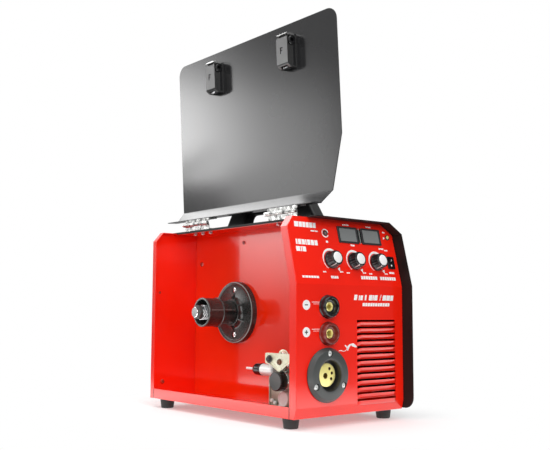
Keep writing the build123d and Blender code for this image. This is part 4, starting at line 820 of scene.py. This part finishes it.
def make_rolls():
    """The drive roll's ribbed cap, the grooved drive roll and the pressure roller above it."""
    roll_place = Place((0, ROLL_Y, DRIVE_Z), (-1, 0, 0))
    cap = bmesh.new()
    low = -WIRE_X + 6.0
    ribs = 0.030
    profile = [(low, 4.1), (low, 15.2), (low + 0.8, 15.7), (low + 13.4, 15.5), (low + 14.6, 14.9),
               (low + 15.0, 14.2)]
    turned(cap, profile, roll_place, steps=192, ripple=lambda turn,
           index: 1 + (ribs * (abs(math.cos(turn * 12)) - 0.5) if index else 0))
    profile = [(low + 15.0, 14.2), (low + 15.1, 13.6), (low + 14.8, 12.8), (low + 14.8, 0)]
    turned(cap, profile, roll_place, steps=192, material=1, ripple=lambda turn,
           index: 1 + (ribs * (abs(math.cos(turn * 12)) - 0.5) if index < 2 else 0))
    make("roll_cap_knob", cap, [GLOSS_BLACK, GREY_PLASTIC], "drive", replaces=("drive_roll_cap",), smooth=34)
    groove = [(-5.6, 14.3), (-4.9, 15.0), (-1.2, 15.0), (0, 14.1), (1.2, 15.0), (4.9, 15.0), (5.6, 14.3)]
    for name, body, z, bore in (("drive_roll", "drive", DRIVE_Z, 4.1),
                                ("pressure_roller", "roller", PRESSURE_Z, 3.1)):
        roll = bmesh.new()
        place = Place((WIRE_X, ROLL_Y, z), (-1, 0, 0))
        turned(roll, [(-5.6, bore)] + groove + [(5.6, bore)], place, steps=72, closed=True)
        make(f"{name}_wheel", roll, [BRIGHT], body, replaces=(name,), smooth=30)


def make_pressure_arm():
    """The pressed lever with its rolled rims, its roller axle and the two arches above the roller."""
    arm = bmesh.new()
    rim = [(163, 100), (145, 99.0), (126, 92.0), (110.5, 81.4), (107, 80.4), (103.5, 81.2), (83, 91.4),
           (72, 92.6)]
    top = [(163, 109), (88, 109.0), (72, 109.0), (70, 107.2), (70, 94.5)]
    prism(arm, rim[:1] + top + rim[:0:-1], ON_ARM, -3.0, 0)
    tube(arm, [ON_ARM.at(x, z, 0.2) for x, z in rim], 0.95, 10)
    inner = [(142, 103.2), (127.5, 96.0), (112.5, 86.2), (107, 84.6), (101.5, 86.0), (86.5, 94.4)]
    tube(arm, [ON_ARM.at(x, z, 0.0) for x, z in inner], 0.7, 10)
    for radius, depth, thick in ((10.5, -4.0, 1.2), (7.2, -3.0, 0.8)):
        arch = [ON_ARM.at(x, z * 0.72 + 30.0, depth) for x, z in circle(radius, 17, (112.0, 107.0), 4, 176)]
        tube(arm, arch, thick, 10)
    turned(arm, [(-17.0, 3.0), (0, 3.0), (0, 0)], ON_ARM.moved(-ROLL_Y, PRESSURE_Z), steps=24, material=1)
    prism(arm, rectangle(14, 6, (156, 106), 1), ON_ARM, -18, -2.5)
    make("pressure_arm_lever", arm, [BEIGE_ZINC, BRIGHT], "arm", replaces=("pressure_arm",), bevel=0.25,
         smooth=40)
    axle = bmesh.new()
    turned(axle, [(-0.2, 5.0), (0.8, 5.0), (2.2, 4.4), (3.0, 3.0), (2.4, 2.4), (2.2, 0)],
           ON_ARM.moved(-ROLL_Y, PRESSURE_Z), steps=32)
    make("roller_axle_head", axle, [BROWN_SCREW_AND_HOLE_SHADE], "arm")


def make_tension_knob():
    knob = bmesh.new()
    upward = Place((WIRE_X, TENSION_Y, 0), (0, 0, 1), (1, 0, 0))
    turned(knob, [(90, 0), (90, 2.6), (91, 3.0), (109.2, 3.0)], upward, steps=24, material=1)
    profile = [(109.2, 3.0), (109.2, 7.4), (110, 8.0), (131.6, 8.0), (134.4, 6.8), (135.2, 4.8), (135.3, 0)]
    turned(knob, profile, upward, steps=96, ripple=lambda turn,
           index: 1 + (0.05 * (abs(math.cos(turn * 6)) - 0.5) if 1 <= index <= 4 else 0))
    make("tension_hand_knob", knob, [GLOSS_BLACK, BRIGHT], "tension", replaces=("tension_knob",), smooth=34)
    make("drive_axle", copied("drive_shaft"), [BRIGHT], "drive", replaces=("drive_shaft",), bevel=0.3)


# Connectors


def make_sockets():
    for name, (x, z), finish in (("negative", MINUS, GLOSS_BLACK), ("positive", PLUS, DARK_RED)):
        place = on_front(x, z)
        shell = bmesh.new()
        profile = [(-22, 7.9), (-22, 12.8), (0, 12.8), (0, 18.1), (1.4, 18.4), (2.4, 17.8), (3.0, 17.3),
                   (8.6, 16.9), (10.6, 16.0), (11.5, 14.8), (11.5, 13.4), (10.8, 12.6), (8.4, 11.8),
                   (5.2, 10.6), (4.4, 9.0), (4.2, 7.9)]
        turned(shell, profile, place, steps=96, closed=True, ripple=lambda turn,
               index: 1 - (0.03 if 6 <= index <= 8 and abs(math.sin(turn * 1.5 + 0.6)) < 0.16 else 0))
        make(f"{name}_socket_collar", shell, [finish], replaces=(f"{name}_socket_shell",), smooth=30)
    brass = bmesh.new()
    for x, z in (MINUS, PLUS):
        profile = [(-34, 0), (-34, 7.8), (3.6, 7.8), (4.6, 7.4), (5.0, 6.7), (4.8, 5.4), (3.6, 4.5),
                   (-22.0, 4.5), (-22.0, 0)]
        turned(brass, profile, on_front(x, z), steps=48)
    make("socket_brass", brass, [BRASS], replaces=("socket_inserts",), smooth=34)


def make_euro():
    place = on_front(*EURO)
    flange = bmesh.new()
    profile = [(0, 25.6), (0, 41.0), (0.5, 41.7), (2.4, 41.8), (3.2, 41.2), (7.6, 38.6), (9.0, 37.4),
               (9.5, 36.0), (9.5, 25.4), (9.0, 24.4), (8.2, 24.0), (-6.0, 23.0), (-6.0, 12.1), (-12.0, 12.1),
               (-12.0, 25.6)]
    turned(flange, profile, place, steps=128, closed=True)
    recesses = [drill(spot, 5.4, 0.6, 14) for spot in place.ring(EURO_SCREW_R, THIRDS)]
    make("torch_flange", carve(flange, *recesses), [GREY_PLASTIC], replaces=("euro_flange",), smooth=24)
    well = bmesh.new()
    profile = [(8.6, 24.05), (8.2, 23.9), (-5.8, 22.9), (-5.9, 18.6), (-5.4, 18.6), (-5.0, 22.2), (8.2, 23.2)]
    turned(well, profile, place, steps=96, closed=True)
    make("torch_well", well, [BLACK_PLASTIC])
    brass = bmesh.new()
    profile = [(-24.5, 0), (-24.5, 12.0), (-6.0, 12.0), (-6.0, 18.0), (-5.5, 18.4), (-1.2, 18.4),
               (-0.3, 17.9), (0, 17.0), (0, 0)]
    turned(brass, profile, place, steps=96)
    bore = place.moved(*WIRE_BORE)
    tools = [drill(bore, 4.6, -20, 4)] + [drill(spot, 2.5, -5.5, 4, 24) for spot in place.ring(CONTACT_R,
                                                                                               CONTACT_TURNS)]
    make("torch_brass", carve(brass, *tools), [BRASS], replaces=("euro_body",), smooth=24, bevel=0.2)
    # Darker linings inside the wire bore and the contact holes: painted shade in the holes.
    bore_shade = bmesh.new()
    turned(bore_shade, [(-0.5, 4.58), (-1.2, 4.2), (-19.8, 4.2), (-19.8, 0)], bore, steps=32)
    turned(bore_shade, [(-19.6, 1.6), (-8.0, 1.6), (-8.0, 0)], bore, steps=16)
    for spot in place.ring(CONTACT_R, CONTACT_TURNS):
        turned(bore_shade, [(-0.3, 2.48), (-0.9, 2.2), (-5.2, 2.2), (-5.2, 0)], spot, steps=24, material=1)
    make("torch_bore_painted_shade", bore_shade, [BRASS_BORE_SHADE, BROWN_SCREW_AND_HOLE_SHADE], smooth=40)


# Control face


def make_displays():
    bezel = bmesh.new()
    glass = bmesh.new()
    for x in DISPLAY_XS:
        place = on_lean(x, DISPLAY_Z)
        cut = bmesh.new()
        prism(cut, rectangle(38.0, 21.8, corner=0.6), place, -1, 6)
        block = bmesh.new()
        prism(block, rectangle(45.6, 28, corner=1.2), place, 0.02, 1.9)
        absorb(bezel, carve(block, cut))
        prism(glass, rectangle(38.6, 22.4, corner=0.6), place, 0.02, 0.9)
    make("display_frames", bezel, [DARK_STEEL_AND_SLOT_SHADE], replaces=("display_bezel",), bevel=0.35)
    make("display_glass", glass, [WINDOW], replaces=("display_windows",), bevel=0.15)
    # A thin lighter grey strip between the two frames: a painted glint.
    glint_strip = bmesh.new()
    middle = on_lean(sum(DISPLAY_XS) / 2, DISPLAY_Z)
    prism(glint_strip, rectangle(1.5, 27, corner=0.5), middle, 0.02, 1.5)
    make("display_painted_glint", glint_strip, [HIGHLIGHT_GREY], bevel=0.2)
    lamps = bmesh.new()
    for (x, z), lens in ((FAULT_LAMP, 1), (POWER_LAMP, 2)):
        place = on_lean(x, z)
        turned(lamps, [(0, 4.6), (1.2, 4.6), (1.7, 4.1), (1.7, 3.2), (0, 3.2)], place, steps=40, material=0)
        turned(lamps, [(0, 3.3), (1.8, 3.2), (2.8, 2.4), (3.2, 1.2), (3.3, 0)], place, steps=32,
               material=lens)
    make("lamp_lenses", lamps, [DARK_STEEL_AND_SLOT_SHADE, LAMP_DARK, LAMP_LENS], replaces=("indicator_lamps",), smooth=40)


def make_switches():
    place = on_lean(*MODE_SWITCH)
    block = bmesh.new()
    prism(block, rectangle(16.8, 21.6, corner=2.2), place, 0.02, 2.0)
    inside = bmesh.new()
    prism(inside, rectangle(11.2, 16.4), place, -4, 6)
    make("mode_switch_frame", carve(block, inside), [GLOSS_BLACK], replaces=("mode_switch_body",), bevel=0.4)
    make("mode_rocker_cap", copied("mode_rocker"), [GLOSS_BLACK], "mode", replaces=("mode_rocker",),
         bevel=0.5)
    dot = bmesh.new()
    tilt = math.radians(12)
    tilted = Place(place.origin, place.out * math.cos(tilt) - place.up * math.sin(tilt), place.up)
    turned(dot, [(0, 1.5), (0.9, 1.5), (0.9, 0)], tilted.moved(-0.2, -4.4, 2.1), steps=24)
    prism(dot, rectangle(0.8, 3.0, (0.0, 4.4)), tilted, 1.6, 2.66)
    make("mode_rocker_marks", dot, [WHITE_INK], "mode")
    make("mains_switch_frame", copied("mains_switch_body"), [BLACK_PLASTIC], replaces=("mains_switch_body",),
         bevel=0.3)
    make("mains_rocker_cap", copied("mains_rocker"), [DARK_RED], "mains", replaces=("mains_rocker",),
         bevel=0.4)


def fluted(turn, index):
    """Nine flutes round a dial knob's grip."""
    return 1 - (0.075 * max(0, math.cos(turn * 9)) ** 3 if 6 <= index <= 9 else 0)


def make_dials():
    for x, where in zip(DIAL_XS, ("left", "middle", "right")):
        place = on_lean(x, DIAL_Z)
        knob = bmesh.new()
        profile = [(-12, 0), (-12, 3.0), (0.6, 3.0), (0.6, 14.0), (1.2, 14.5), (3.4, 14.3), (5.0, 13.6),
                   (6.0, 12.9), (14.2, 12.2), (15.4, 11.6), (16.1, 10.6), (16.1, 9.0)]
        turned(knob, profile, place, steps=144, ripple=fluted)
        turned(knob, [(16.1, 9.0), (16.2, 8.6), (16.7, 8.2), (17.0, 6.9), (17.1, 0)], place, steps=72,
               material=1)
        turn = math.radians(-118)
        across = Vector((math.cos(turn), math.sin(turn)))
        side = Vector((-across.y, across.x))
        for low, high, r_low, r_high in ((5.4, 15.6, 13.35, 12.4), (15.4, 16.4, 12.1, 8.6)):
            corners = []
            for out, radius in ((low, r_low), (high, r_high)):
                for lean in (-0.55, 0.55):
                    spot = across * radius + side * lean
                    corners.append(place.at(spot.x, spot.y, out))
            below = [corner - (place.across * across.x + place.up * across.y) * 0.8 - place.out * 0.4
                     for corner in corners]
            verts = [knob.verts.new(corner) for corner in corners + below]
            for quad in ((0, 1, 3, 2), (5, 4, 6, 7), (0, 4, 5, 1), (2, 3, 7, 6), (0, 2, 6, 4), (1, 5, 7, 3)):
                knob.faces.new([verts[k] for k in quad]).material_index = 1
        make(f"dial_{where}_cap", knob, [GLOSS_BLACK, WHITE_PLASTIC], f"dial_{where}",
             replaces=(f"dial_knob_{where}",), smooth=38)


def crescent(mesh, place, inner, start, end, thin, thick):
    """A printed arc that swells from its start towards its end, running clockwise, in degrees."""
    outer_points = []
    inner_points = []
    spans = 48
    for step in range(spans + 1):
        share = step / spans
        turn = math.radians(start + (end - start) * share)
        width = thin + (thick - thin) * math.sin(min(1, share * 1.35) * math.pi / 2) ** 2
        outer_points.append(((inner + width) * math.cos(turn), (inner + width) * math.sin(turn)))
        inner_points.append((inner * math.cos(turn), inner * math.sin(turn)))
    for k in range(spans):
        prism(mesh, [inner_points[k], outer_points[k], outer_points[k + 1], inner_points[k + 1]], place, *INK)


# Rows of blocks that stand for printed wording: x, z, the blocks' widths, height, gap and slant

LEAN_ROWS = (
    (-44.5, 229.0, (3.6, 3.0, 3.6, 3.0), 4.2, 0.8, 0),
    (12.0, 283.5, (4.2, 4.2), 2.6, 0.7, 0),
    (78, 281.0, (4.0, 3.0, 3.0), 2.6, 0.6, 0),
    (1.0, 317.3, (3.0, 4.0, 2.4, 3.0), 2.2, 0.7, 0),
    (56.0, 317.3, (4.0, 2.4, 3.4), 2.2, 0.7, 0),
    (-105, 308.5, (8.5, 6.5, 6.0, 6.0, 6.5, 6.0), 8.6, 1.1, 0.12),
    (-72, 302.5, (8, 6), 2.2, 0.8, 0),
    (-107, 280.5, (3.2, 6.5, 6.0, 2.6, 6.5, 6.5, 6.5), 8.4, 1.3, 0),
    (-108.5, 269.5, (8.0, 2.6, 7.0), 8.0, 1.3, 0),
    (-105, 228.5, (3.6, 1.6, 5, 4.4, 5, 4.6, 5.4), 3.4, 0.8, 0),
    (23, 229.5, (4.6, 4.4, 4.8, 4.4, 4.8, 4.4, 4.6), 5.4, 0.9, 0),
    (68, 229.5, (4.8, 4.4, 4.8, 4.4, 4.8, 4.4, 4.6), 5.4, 0.9, 0),
    (93.0, 240.5, (4.6, 3.0, 3.0), 3.4, 0.8, 0),
    (91, 279, (2.6, 4.4), 2.4, 0.7, 0),
    (94.5, 310.5, (2.0, 2.6), 2.2, 0.7, 0),
    (-42.6, 286.0, (4.4,), 3.6, 1.0, 0),
)
FRONT_ROWS = (
    (2.5, 195.5, (6.6,), 8.6, 1.1, 0.2),
    (13.0, 195.5, (2.6, 5.6), 7.6, 1.1, 0.2),
    (27.0, 195.5, (3.6,), 8.6, 1.1, 0.2),
    (36.5, 195.5, (7.6, 3.0, 7.4), 8.6, 1.0, 0.2),
    (62.0, 195.5, (1.4,), 9.6, 1.0, 0.4),
    (69.0, 195.5, (8.4, 8.4, 6.6), 8.6, 1.0, 0.2),
    (22.0, 186.0, (5.4, 4.6, 5.2, 5.0, 4.2, 5.2, 4.8, 5.2, 4.8, 5.2, 4.4), 5.2, 0.95, 0.15),
)
INK = (0.02, 0.16)


def bars(mesh, place, widths, height, gap, slant=0.0):
    """A row of plain blocks, from left to right."""
    x = 0
    for width in widths:
        lean = slant * height
        prism(mesh, [(x, 0), (x + width, 0), (x + width + lean, height), (x + lean, height)], place, *INK)
        x += width + gap


def make_printed_marks():
    """Dial scales, an arrow, a ring round the fault lamp, and rows of plain blocks in place of wording."""
    ink = bmesh.new()
    for x in DIAL_XS:
        place = on_lean(x, DIAL_Z)
        crescent(ink, place, 15.7, 238, 30, 0.9, 3.6)
        prism(ink, [(11.0, -14.0), (16.0, -18.5), (16.5, -11.5)], place, *INK)
        bars(ink, place.moved(-22, -21), (2.4, 1.6, 1.6), 2.2, 0.6)
        bars(ink, place.moved(15.5, -20), (2.4, 1.6, 1.6), 2.2, 0.6)
    for on_face, rows in ((on_lean, LEAN_ROWS), (on_front, FRONT_ROWS)):
        for x, z, *row in rows:
            bars(ink, on_face(x, z), *row)
    prism(ink, [(-2.2, -2.2), (2.2, 0), (-2.2, 2.2)], on_lean(96.0, 301.6), *INK)
    crescent(ink, on_lean(*FAULT_LAMP), 5.6, 330, 10, 1.7, 1.7)
    make("printed_marks", ink, [WHITE_INK], smooth=20)


def make_polarity_signs():
    """A white disc with a minus or plus beside each weld socket, and two thin lines that lead to it."""
    discs = bmesh.new()
    for z, plus in ((MINUS[1], False), (PLUS[1], True)):
        place = on_front(SIGN_X, z + 2.6)
        prism(discs, circle(7.6, 48), place, *INK)
        prism(discs, rectangle(6.4, 1.7), place, 0.1, 0.26, 1)
        if plus:
            prism(discs, rectangle(1.7, 6.4), place, 0.1, 0.27, 1)
        prism(discs, rectangle(17, 0.7, (19.5, 4.4)), place, 0.02, 0.12)
        prism(discs, rectangle(15, 0.5, (21.5, 1.6)), place, 0.02, 0.12)
    make("polarity_signs", discs, [WHITE_INK, BLACK_PRINT_AND_SHADE], smooth=20)


def make_torch_sign():
    """A small outline of a torch above its connector."""
    torch = bmesh.new()
    place = on_front(-8.5, 120.5)
    neck = [(-23, -4.5), (-18, -4.0), (-12, -5.5), (-7, -4.0), (-3.0, 0.5)]
    for (ax, ay), (bx, by) in zip(neck, neck[1:]):
        prism(torch, [(ax, ay - 0.5), (bx, by - 0.5), (bx, by + 0.5), (ax, ay + 0.5)], place, *INK)
    prism(torch, [(-5.5, -2.5), (-3.0, -5.0), (0.5, 1.0), (4.0, 4.2), (3.0, 6.0), (-1.0, 4.4), (-6.0, 0.5)],
          place, *INK)
    prism(torch, [(4.0, 6.0), (9, 6.8), (14.5, 3.8), (17.5, 0.6), (13.6, 0.2), (8.0, 1.6), (4.6, 3.6)], place,
          0.02, 0.17)
    prism(torch, [(-10, 3.6), (-8, 4.6), (-5, 1.6), (-6.2, 0.2)], place, *INK)
    make("torch_sign", torch, [WHITE_INK], smooth=20)


# Latches, on the open lid's inner face


def on_lid(y, z):
    """A place on the open lid's inner face, from its place on the shut lid. Up is away from the hinge."""
    turn = math.radians(OPEN_ANGLE)
    dx = LEFT_X - 0.4 - HINGE[0]
    dz = z - HINGE[1]
    x = HINGE[0] + dx * math.cos(turn) + dz * math.sin(turn)
    height = HINGE[1] - dx * math.sin(turn) + dz * math.cos(turn)
    out = Vector((math.cos(turn), 0, -math.sin(turn)))
    up = Vector((-math.sin(turn), 0, -math.cos(turn)))
    return Place((x, y, height), out, up)


def make_latch_housings():
    housings = bmesh.new()
    half = LATCH_HALF
    for y in LATCH_YS:
        place = on_lid(y, LATCH_MIDDLE)
        sideways = place.sideways()
        body = bmesh.new()
        outline = [(0, -half), (-13, -half), (-19, -half + 4.5), (-20.5, -half + 7), (-20.5, half - 3.5),
                   (-16.5, half), (0, half)]
        prism(body, outline, sideways, -14, 14)
        notch = bmesh.new()
        prism(notch, rectangle(16.5, 16.5, (-10.0, half - 9.5), 4.0), sideways, 6.5, 20)
        slot = bmesh.new()
        prism(slot, rectangle(2.2, 11.0, (-3.5, 2.5)), place, 18.2, 26)
        tick = bmesh.new()
        prism(tick, [(-2.5, 8.0), (-2.5, 5.8), (2.0, 5.8), (2.0, 8.0)], place, 18.2, 26)
        prism(tick, [(-2.5, 3.2), (-2.5, 1.4), (1.0, 1.4), (1.0, 3.2)], place, 18.2, 26)
        step = bmesh.new()
        prism(step, rectangle(17, 3.4, (0, -half + 1.7)), place, -5, 26)
        shape = carve(body, notch, slot, tick, step)
        # The outer face takes the lighter grey, painted light; the other faces stay dark.
        for face in shape.faces:
            face.material_index = 1 if face.normal.dot(place.out) > 0.98 and place.out.dot(
                face.calc_center_median() - place.origin) > 20 else 0
        absorb(housings, shape)
    make("latch_cases", housings, [LATCH_GREY, LATCH_LIT_FACE], "lid", replaces=("latch_housings",), bevel=0.55)


def make_latch_details():
    """Dark lug of each housing, a thin dark band laid on its side as the painted shade of a groove, a dark
    block in its tongue slot as the slot's painted shadow, and the three spring ends in the slot.
    """
    half = LATCH_HALF
    darks = bmesh.new()
    for y in LATCH_YS:
        place = on_lid(y, LATCH_MIDDLE)
        sideways = place.sideways()
        lug = sideways.moved(-10.0, half - 9.5)
        turned(darks, [(6.6, 7.6), (14.2, 7.6), (15.4, 6.6), (15.6, 4.4), (9.4, 3.8), (9.4, 0)], lug,
               steps=28)
        # A thin dark band on the side face: painted shade standing in for a groove.
        prism(darks, rectangle(5.4, half * 1.52, (-5.4, -3.6)), sideways, 13.9, 14.08)
        # A dark block filling the tongue slot: the slot's painted shadow.
        tongue = Place(place.origin, place.out, place.up).moved(0, -half)
        prism(darks, rectangle(15, 3.0, (0, 1.6)), tongue, 0.4, 13.0)
    make("latch_lugs_and_painted_shade", darks, [GLOSS_BLACK], "lid", bevel=0.3)
    tongues = bmesh.new()
    for y in LATCH_YS:
        place = on_lid(y, LATCH_MIDDLE)
        for lean in (-3.4, 0.6, 4.4):
            prism(tongues, rectangle(1.5, 2.4, (lean, -half + 1.0), 0.3), place, 6.0, 14.6)
    make("latch_springs", tongues, [SPRING], "lid")


def make_latch_bolts():
    for y, end in zip(LATCH_YS, ("front", "rear")):
        place = on_lid(y, LATCH_Z[0])
        sideways = place.sideways()
        slide = bmesh.new()
        prism(slide, [(-2.6, 0.4), (-2.6, 4.2), (-18.0, 4.2), (-20.6, 2.8), (-20.6, 1.4), (-17.0, 0.4)],
              sideways, -12, 12)
        prism(slide, rectangle(15.6, 36, (0, -15)), place, 2.7, 5.4)
        make(f"latch_bolt_{end}", slide, [BRIGHT], f"{end}_latch", replaces=(f"latch_slide_{end}",),
             bevel=0.4)


make_front_panel()
make_sheets()
make_screws()
make_hub_flange()
make_hub_details()
make_flange_screws()
make_hub_barrel()
make_brake()
make_feeder_casting()
make_inlet()
make_rolls()
make_pressure_arm()
make_tension_knob()
make_sockets()
make_euro()
make_displays()
make_switches()
make_dials()
make_printed_marks()
make_polarity_signs()
make_torch_sign()
make_latch_housings()
make_latch_details()
make_latch_bolts()


# Floor, surround and lights. The case's half size and the dark side's direction are in metres.

CASE_HALF = (0.12, 0.207, 0)
DARK_SIDE = (0.62, -0.76, -0.2)


def make_stage():
    """A pale floor, an even white surround and large soft lights."""
    floor_mesh = bpy.data.meshes.new("floor")
    floor_mesh.from_pydata([(-9, -9, 0), (9, -9, 0), (9, 9, 0), (-9, 9, 0)], [], [(0, 1, 2, 3)])
    floor = bpy.data.objects.new("floor", floor_mesh)
    bpy.context.scene.collection.objects.link(floor)
    pale = finish_of("pale_floor", (0.93, 0.93, 0.93), (0.95, 0.95, 0.95), (0.55, 0.65), (60, 0.02, 0.0001),
                     gloss=0.2)
    fade_to_white(pale, -0.02, 0.20)
    floor_mesh.materials.append(pale)
    make_surround()
    glow_card("lid_card", (-1.45, 1.72, 0.95), (-1.45, 0, 0.95), (1.1, 0.74), 11.3,
              ((0, 0.95), (0.16, 1.0), (0.33, 0.7), (0.54, 0.37), (0.77, 0.34), (1, 0.28)),
              ((0, 0.0), (0.05, 0.9), (0.2, 1.0), (0.5, 0.82), (0.71, 0.36), (1, 0.1)))
    glow_card("wall_card", (-1.36, 1.41, 0.33), (-0.02, -0.07, 0.33), (0.50, 0.62), 3.6, ((0, 1.0), (1, 1.0)),
              ((0, 0.06), (0.35, 0.2), (0.74, 0.95), (1, 1.0)))
    flag_mesh = bpy.data.meshes.new("dark_flag")
    flag_mesh.from_pydata([(-0.99, 1.69, 0.58), (-0.99, 1.69, 0.66), (-1.22, 1.69, 0.775),
                           (-1.21, 1.69, 0.745)], [], [(0, 1, 2, 3)])
    flag_mesh.materials.append(BLACK_PLASTIC)
    flag = bpy.data.objects.new("dark_flag", flag_mesh)
    flag.visible_camera = False
    bpy.context.scene.collection.objects.link(flag)
    soft_light("left_fill", (-2.6, -0.5, 0.9), (0, 0, 0.2), (1.2, 1.2), 11)
    soft_light("rear_top_softbox", (-0.30, 1.55, 1.60), (-0.06, 0, 0.33), (0.9, 0.6), 8.5)
    soft_light("front_key", (-0.9, -2.6, 1.4), (0, 0, 0.2), (2.0, 2.0), 54)
    soft_light("top_softbox", (-0.3, -0.4, 2.6), (0, 0, 0.2), (2.4, 2.4), 34)
    bpy.context.scene.view_settings.view_transform = "Standard"


def fade_to_white(material, near, far):
    """Lets a floor's finish pass into an even white away from the case's outline, like a studio's sweep. Near
    the case part of the floor glows, which is painted light that lifts the case's cast shadow, and
    reflections see that glow brighter still.
    """
    tree = material.node_tree
    place = add_node(tree, "ShaderNodeTexCoord", {}).outputs["Object"]
    from_middle = add_node(tree, "ShaderNodeVectorMath", {0: place}, operation="LENGTH").outputs["Value"]
    span = add_node(tree, "ShaderNodeVectorMath", {0: place}, operation="ABSOLUTE").outputs["Vector"]
    for operation, amount in (("SUBTRACT", CASE_HALF), ("MAXIMUM", (0, 0, 0))):
        span = add_node(tree, "ShaderNodeVectorMath", {0: span, 1: amount},
                        operation=operation).outputs["Vector"]
    from_case = add_node(tree, "ShaderNodeVectorMath", {0: span}, operation="LENGTH").outputs["Value"]
    share = map_range(tree, from_case, (near, far), (0, 1), interpolation_type="SMOOTHSTEP")
    # At least 0.28 of the floor near the case is plain glow: painted light on the case's cast shadow.
    share = add_node(tree, "ShaderNodeMath", {0: share, 1: 0.28}, operation="MAXIMUM").outputs["Value"]
    seen = add_node(tree, "ShaderNodeLightPath", {}).outputs
    # Reflections see the floor glow four times as bright within 0.45 m of the middle, a painted reflection;
    # other bounces see a faint glow.
    reflected_floor_glow = map_range(tree, from_middle, (0.45, 0.90), (4.0, 0.25))
    indirect = add_node(tree, "ShaderNodeMix", {"Factor": seen["Is Glossy Ray"], "A": 0.3, "B": reflected_floor_glow})
    strength = add_node(tree, "ShaderNodeMix",
                        {"Factor": seen["Is Camera Ray"], "A": indirect.outputs["Result"], "B": 1.0})
    glow = add_node(tree, "ShaderNodeEmission", {"Strength": strength.outputs["Result"]})
    mix = add_node(tree, "ShaderNodeMixShader", {"Fac": share,
                                                 1: tree.nodes["Principled BSDF"].outputs["BSDF"],
                                                 2: glow.outputs["Emission"]})
    tree.links.new(mix.outputs["Shader"], tree.nodes["Material Output"].inputs["Surface"])


def make_surround():
    """An even white backdrop. Reflections see a darker room in front of the machine and to its right."""
    world = bpy.data.worlds.new("surround")
    world.use_nodes = True
    tree = world.node_tree
    backdrop = tree.nodes["Background"]
    backdrop.inputs["Color"].default_value = (1, 1, 1, 1)
    facing = add_node(tree, "ShaderNodeTexCoord", {}).outputs["Generated"]
    aim = add_node(tree, "ShaderNodeVectorMath", {0: facing, 1: DARK_SIDE}, operation="DOT_PRODUCT")
    strength = map_range(tree, aim.outputs["Value"], (0.0, 0.85), (0.60, 0.15),
                         interpolation_type="SMOOTHSTEP")
    room = add_node(tree, "ShaderNodeBackground", {"Color": (1, 1, 1, 1), "Strength": strength})
    seen = add_node(tree, "ShaderNodeLightPath", {}).outputs["Is Camera Ray"]
    mix = add_node(tree, "ShaderNodeMixShader", {"Fac": seen, 1: room.outputs["Background"],
                                                 2: backdrop.outputs["Background"]})
    tree.links.new(mix.outputs["Shader"], tree.nodes["World Output"].inputs["Surface"])
    bpy.context.scene.world = world


def ramp_node(tree, source, stops):
    ramp = tree.nodes.new("ShaderNodeValToRGB")
    elements = ramp.color_ramp.elements
    while len(elements) < len(stops):
        elements.new(0.5)
    for element, (share, strength) in zip(elements, stops):
        element.position = share
        element.color = (strength, strength, strength, 1)
    tree.links.new(source, ramp.inputs["Fac"])
    return ramp.outputs["Color"]


def glow_card(name, place, target, size, strength, across, upward):
    """A glowing card whose light fades by two ramps of (share, brightness), one across it and one up it."""
    w, h = size[0] / 2, size[1] / 2
    data = bpy.data.meshes.new(name)
    data.from_pydata([(-w, -h, 0), (w, -h, 0), (w, h, 0), (-w, h, 0)], [], [(0, 1, 2, 3)])
    card = bpy.data.objects.new(name, data)
    card.location = place
    card.rotation_euler = (Vector(target) - Vector(place)).to_track_quat("-Z", "Y").to_euler()
    card.visible_camera = False
    bpy.context.scene.collection.objects.link(card)
    material, tree, shader = new_material(name)
    spot = add_node(tree, "ShaderNodeTexCoord", {}).outputs["Generated"]
    parts = add_node(tree, "ShaderNodeSeparateXYZ", {"Vector": spot}).outputs
    product = strength
    for source, stops in ((parts["X"], across), (parts["Y"], upward)):
        factors = {0: ramp_node(tree, source, stops), 1: product}
        product = add_node(tree, "ShaderNodeMath", factors, operation="MULTIPLY").outputs["Value"]
    glow = add_node(tree, "ShaderNodeEmission", {"Strength": product})
    tree.links.new(glow.outputs["Emission"], tree.nodes["Material Output"].inputs["Surface"])
    tree.nodes.remove(shader)
    data.materials.append(material)


def soft_light(name, place, target, size, power):
    light = bpy.data.lights.new(name, "AREA")
    light.shape = "RECTANGLE"
    light.size, light.size_y = size
    light.energy = power
    lamp = bpy.data.objects.new(name, light)
    lamp.location = place
    lamp.rotation_euler = (Vector(target) - Vector(place)).to_track_quat("-Z", "Y").to_euler()
    bpy.context.scene.collection.objects.link(lamp)


make_camera()
make_stage()
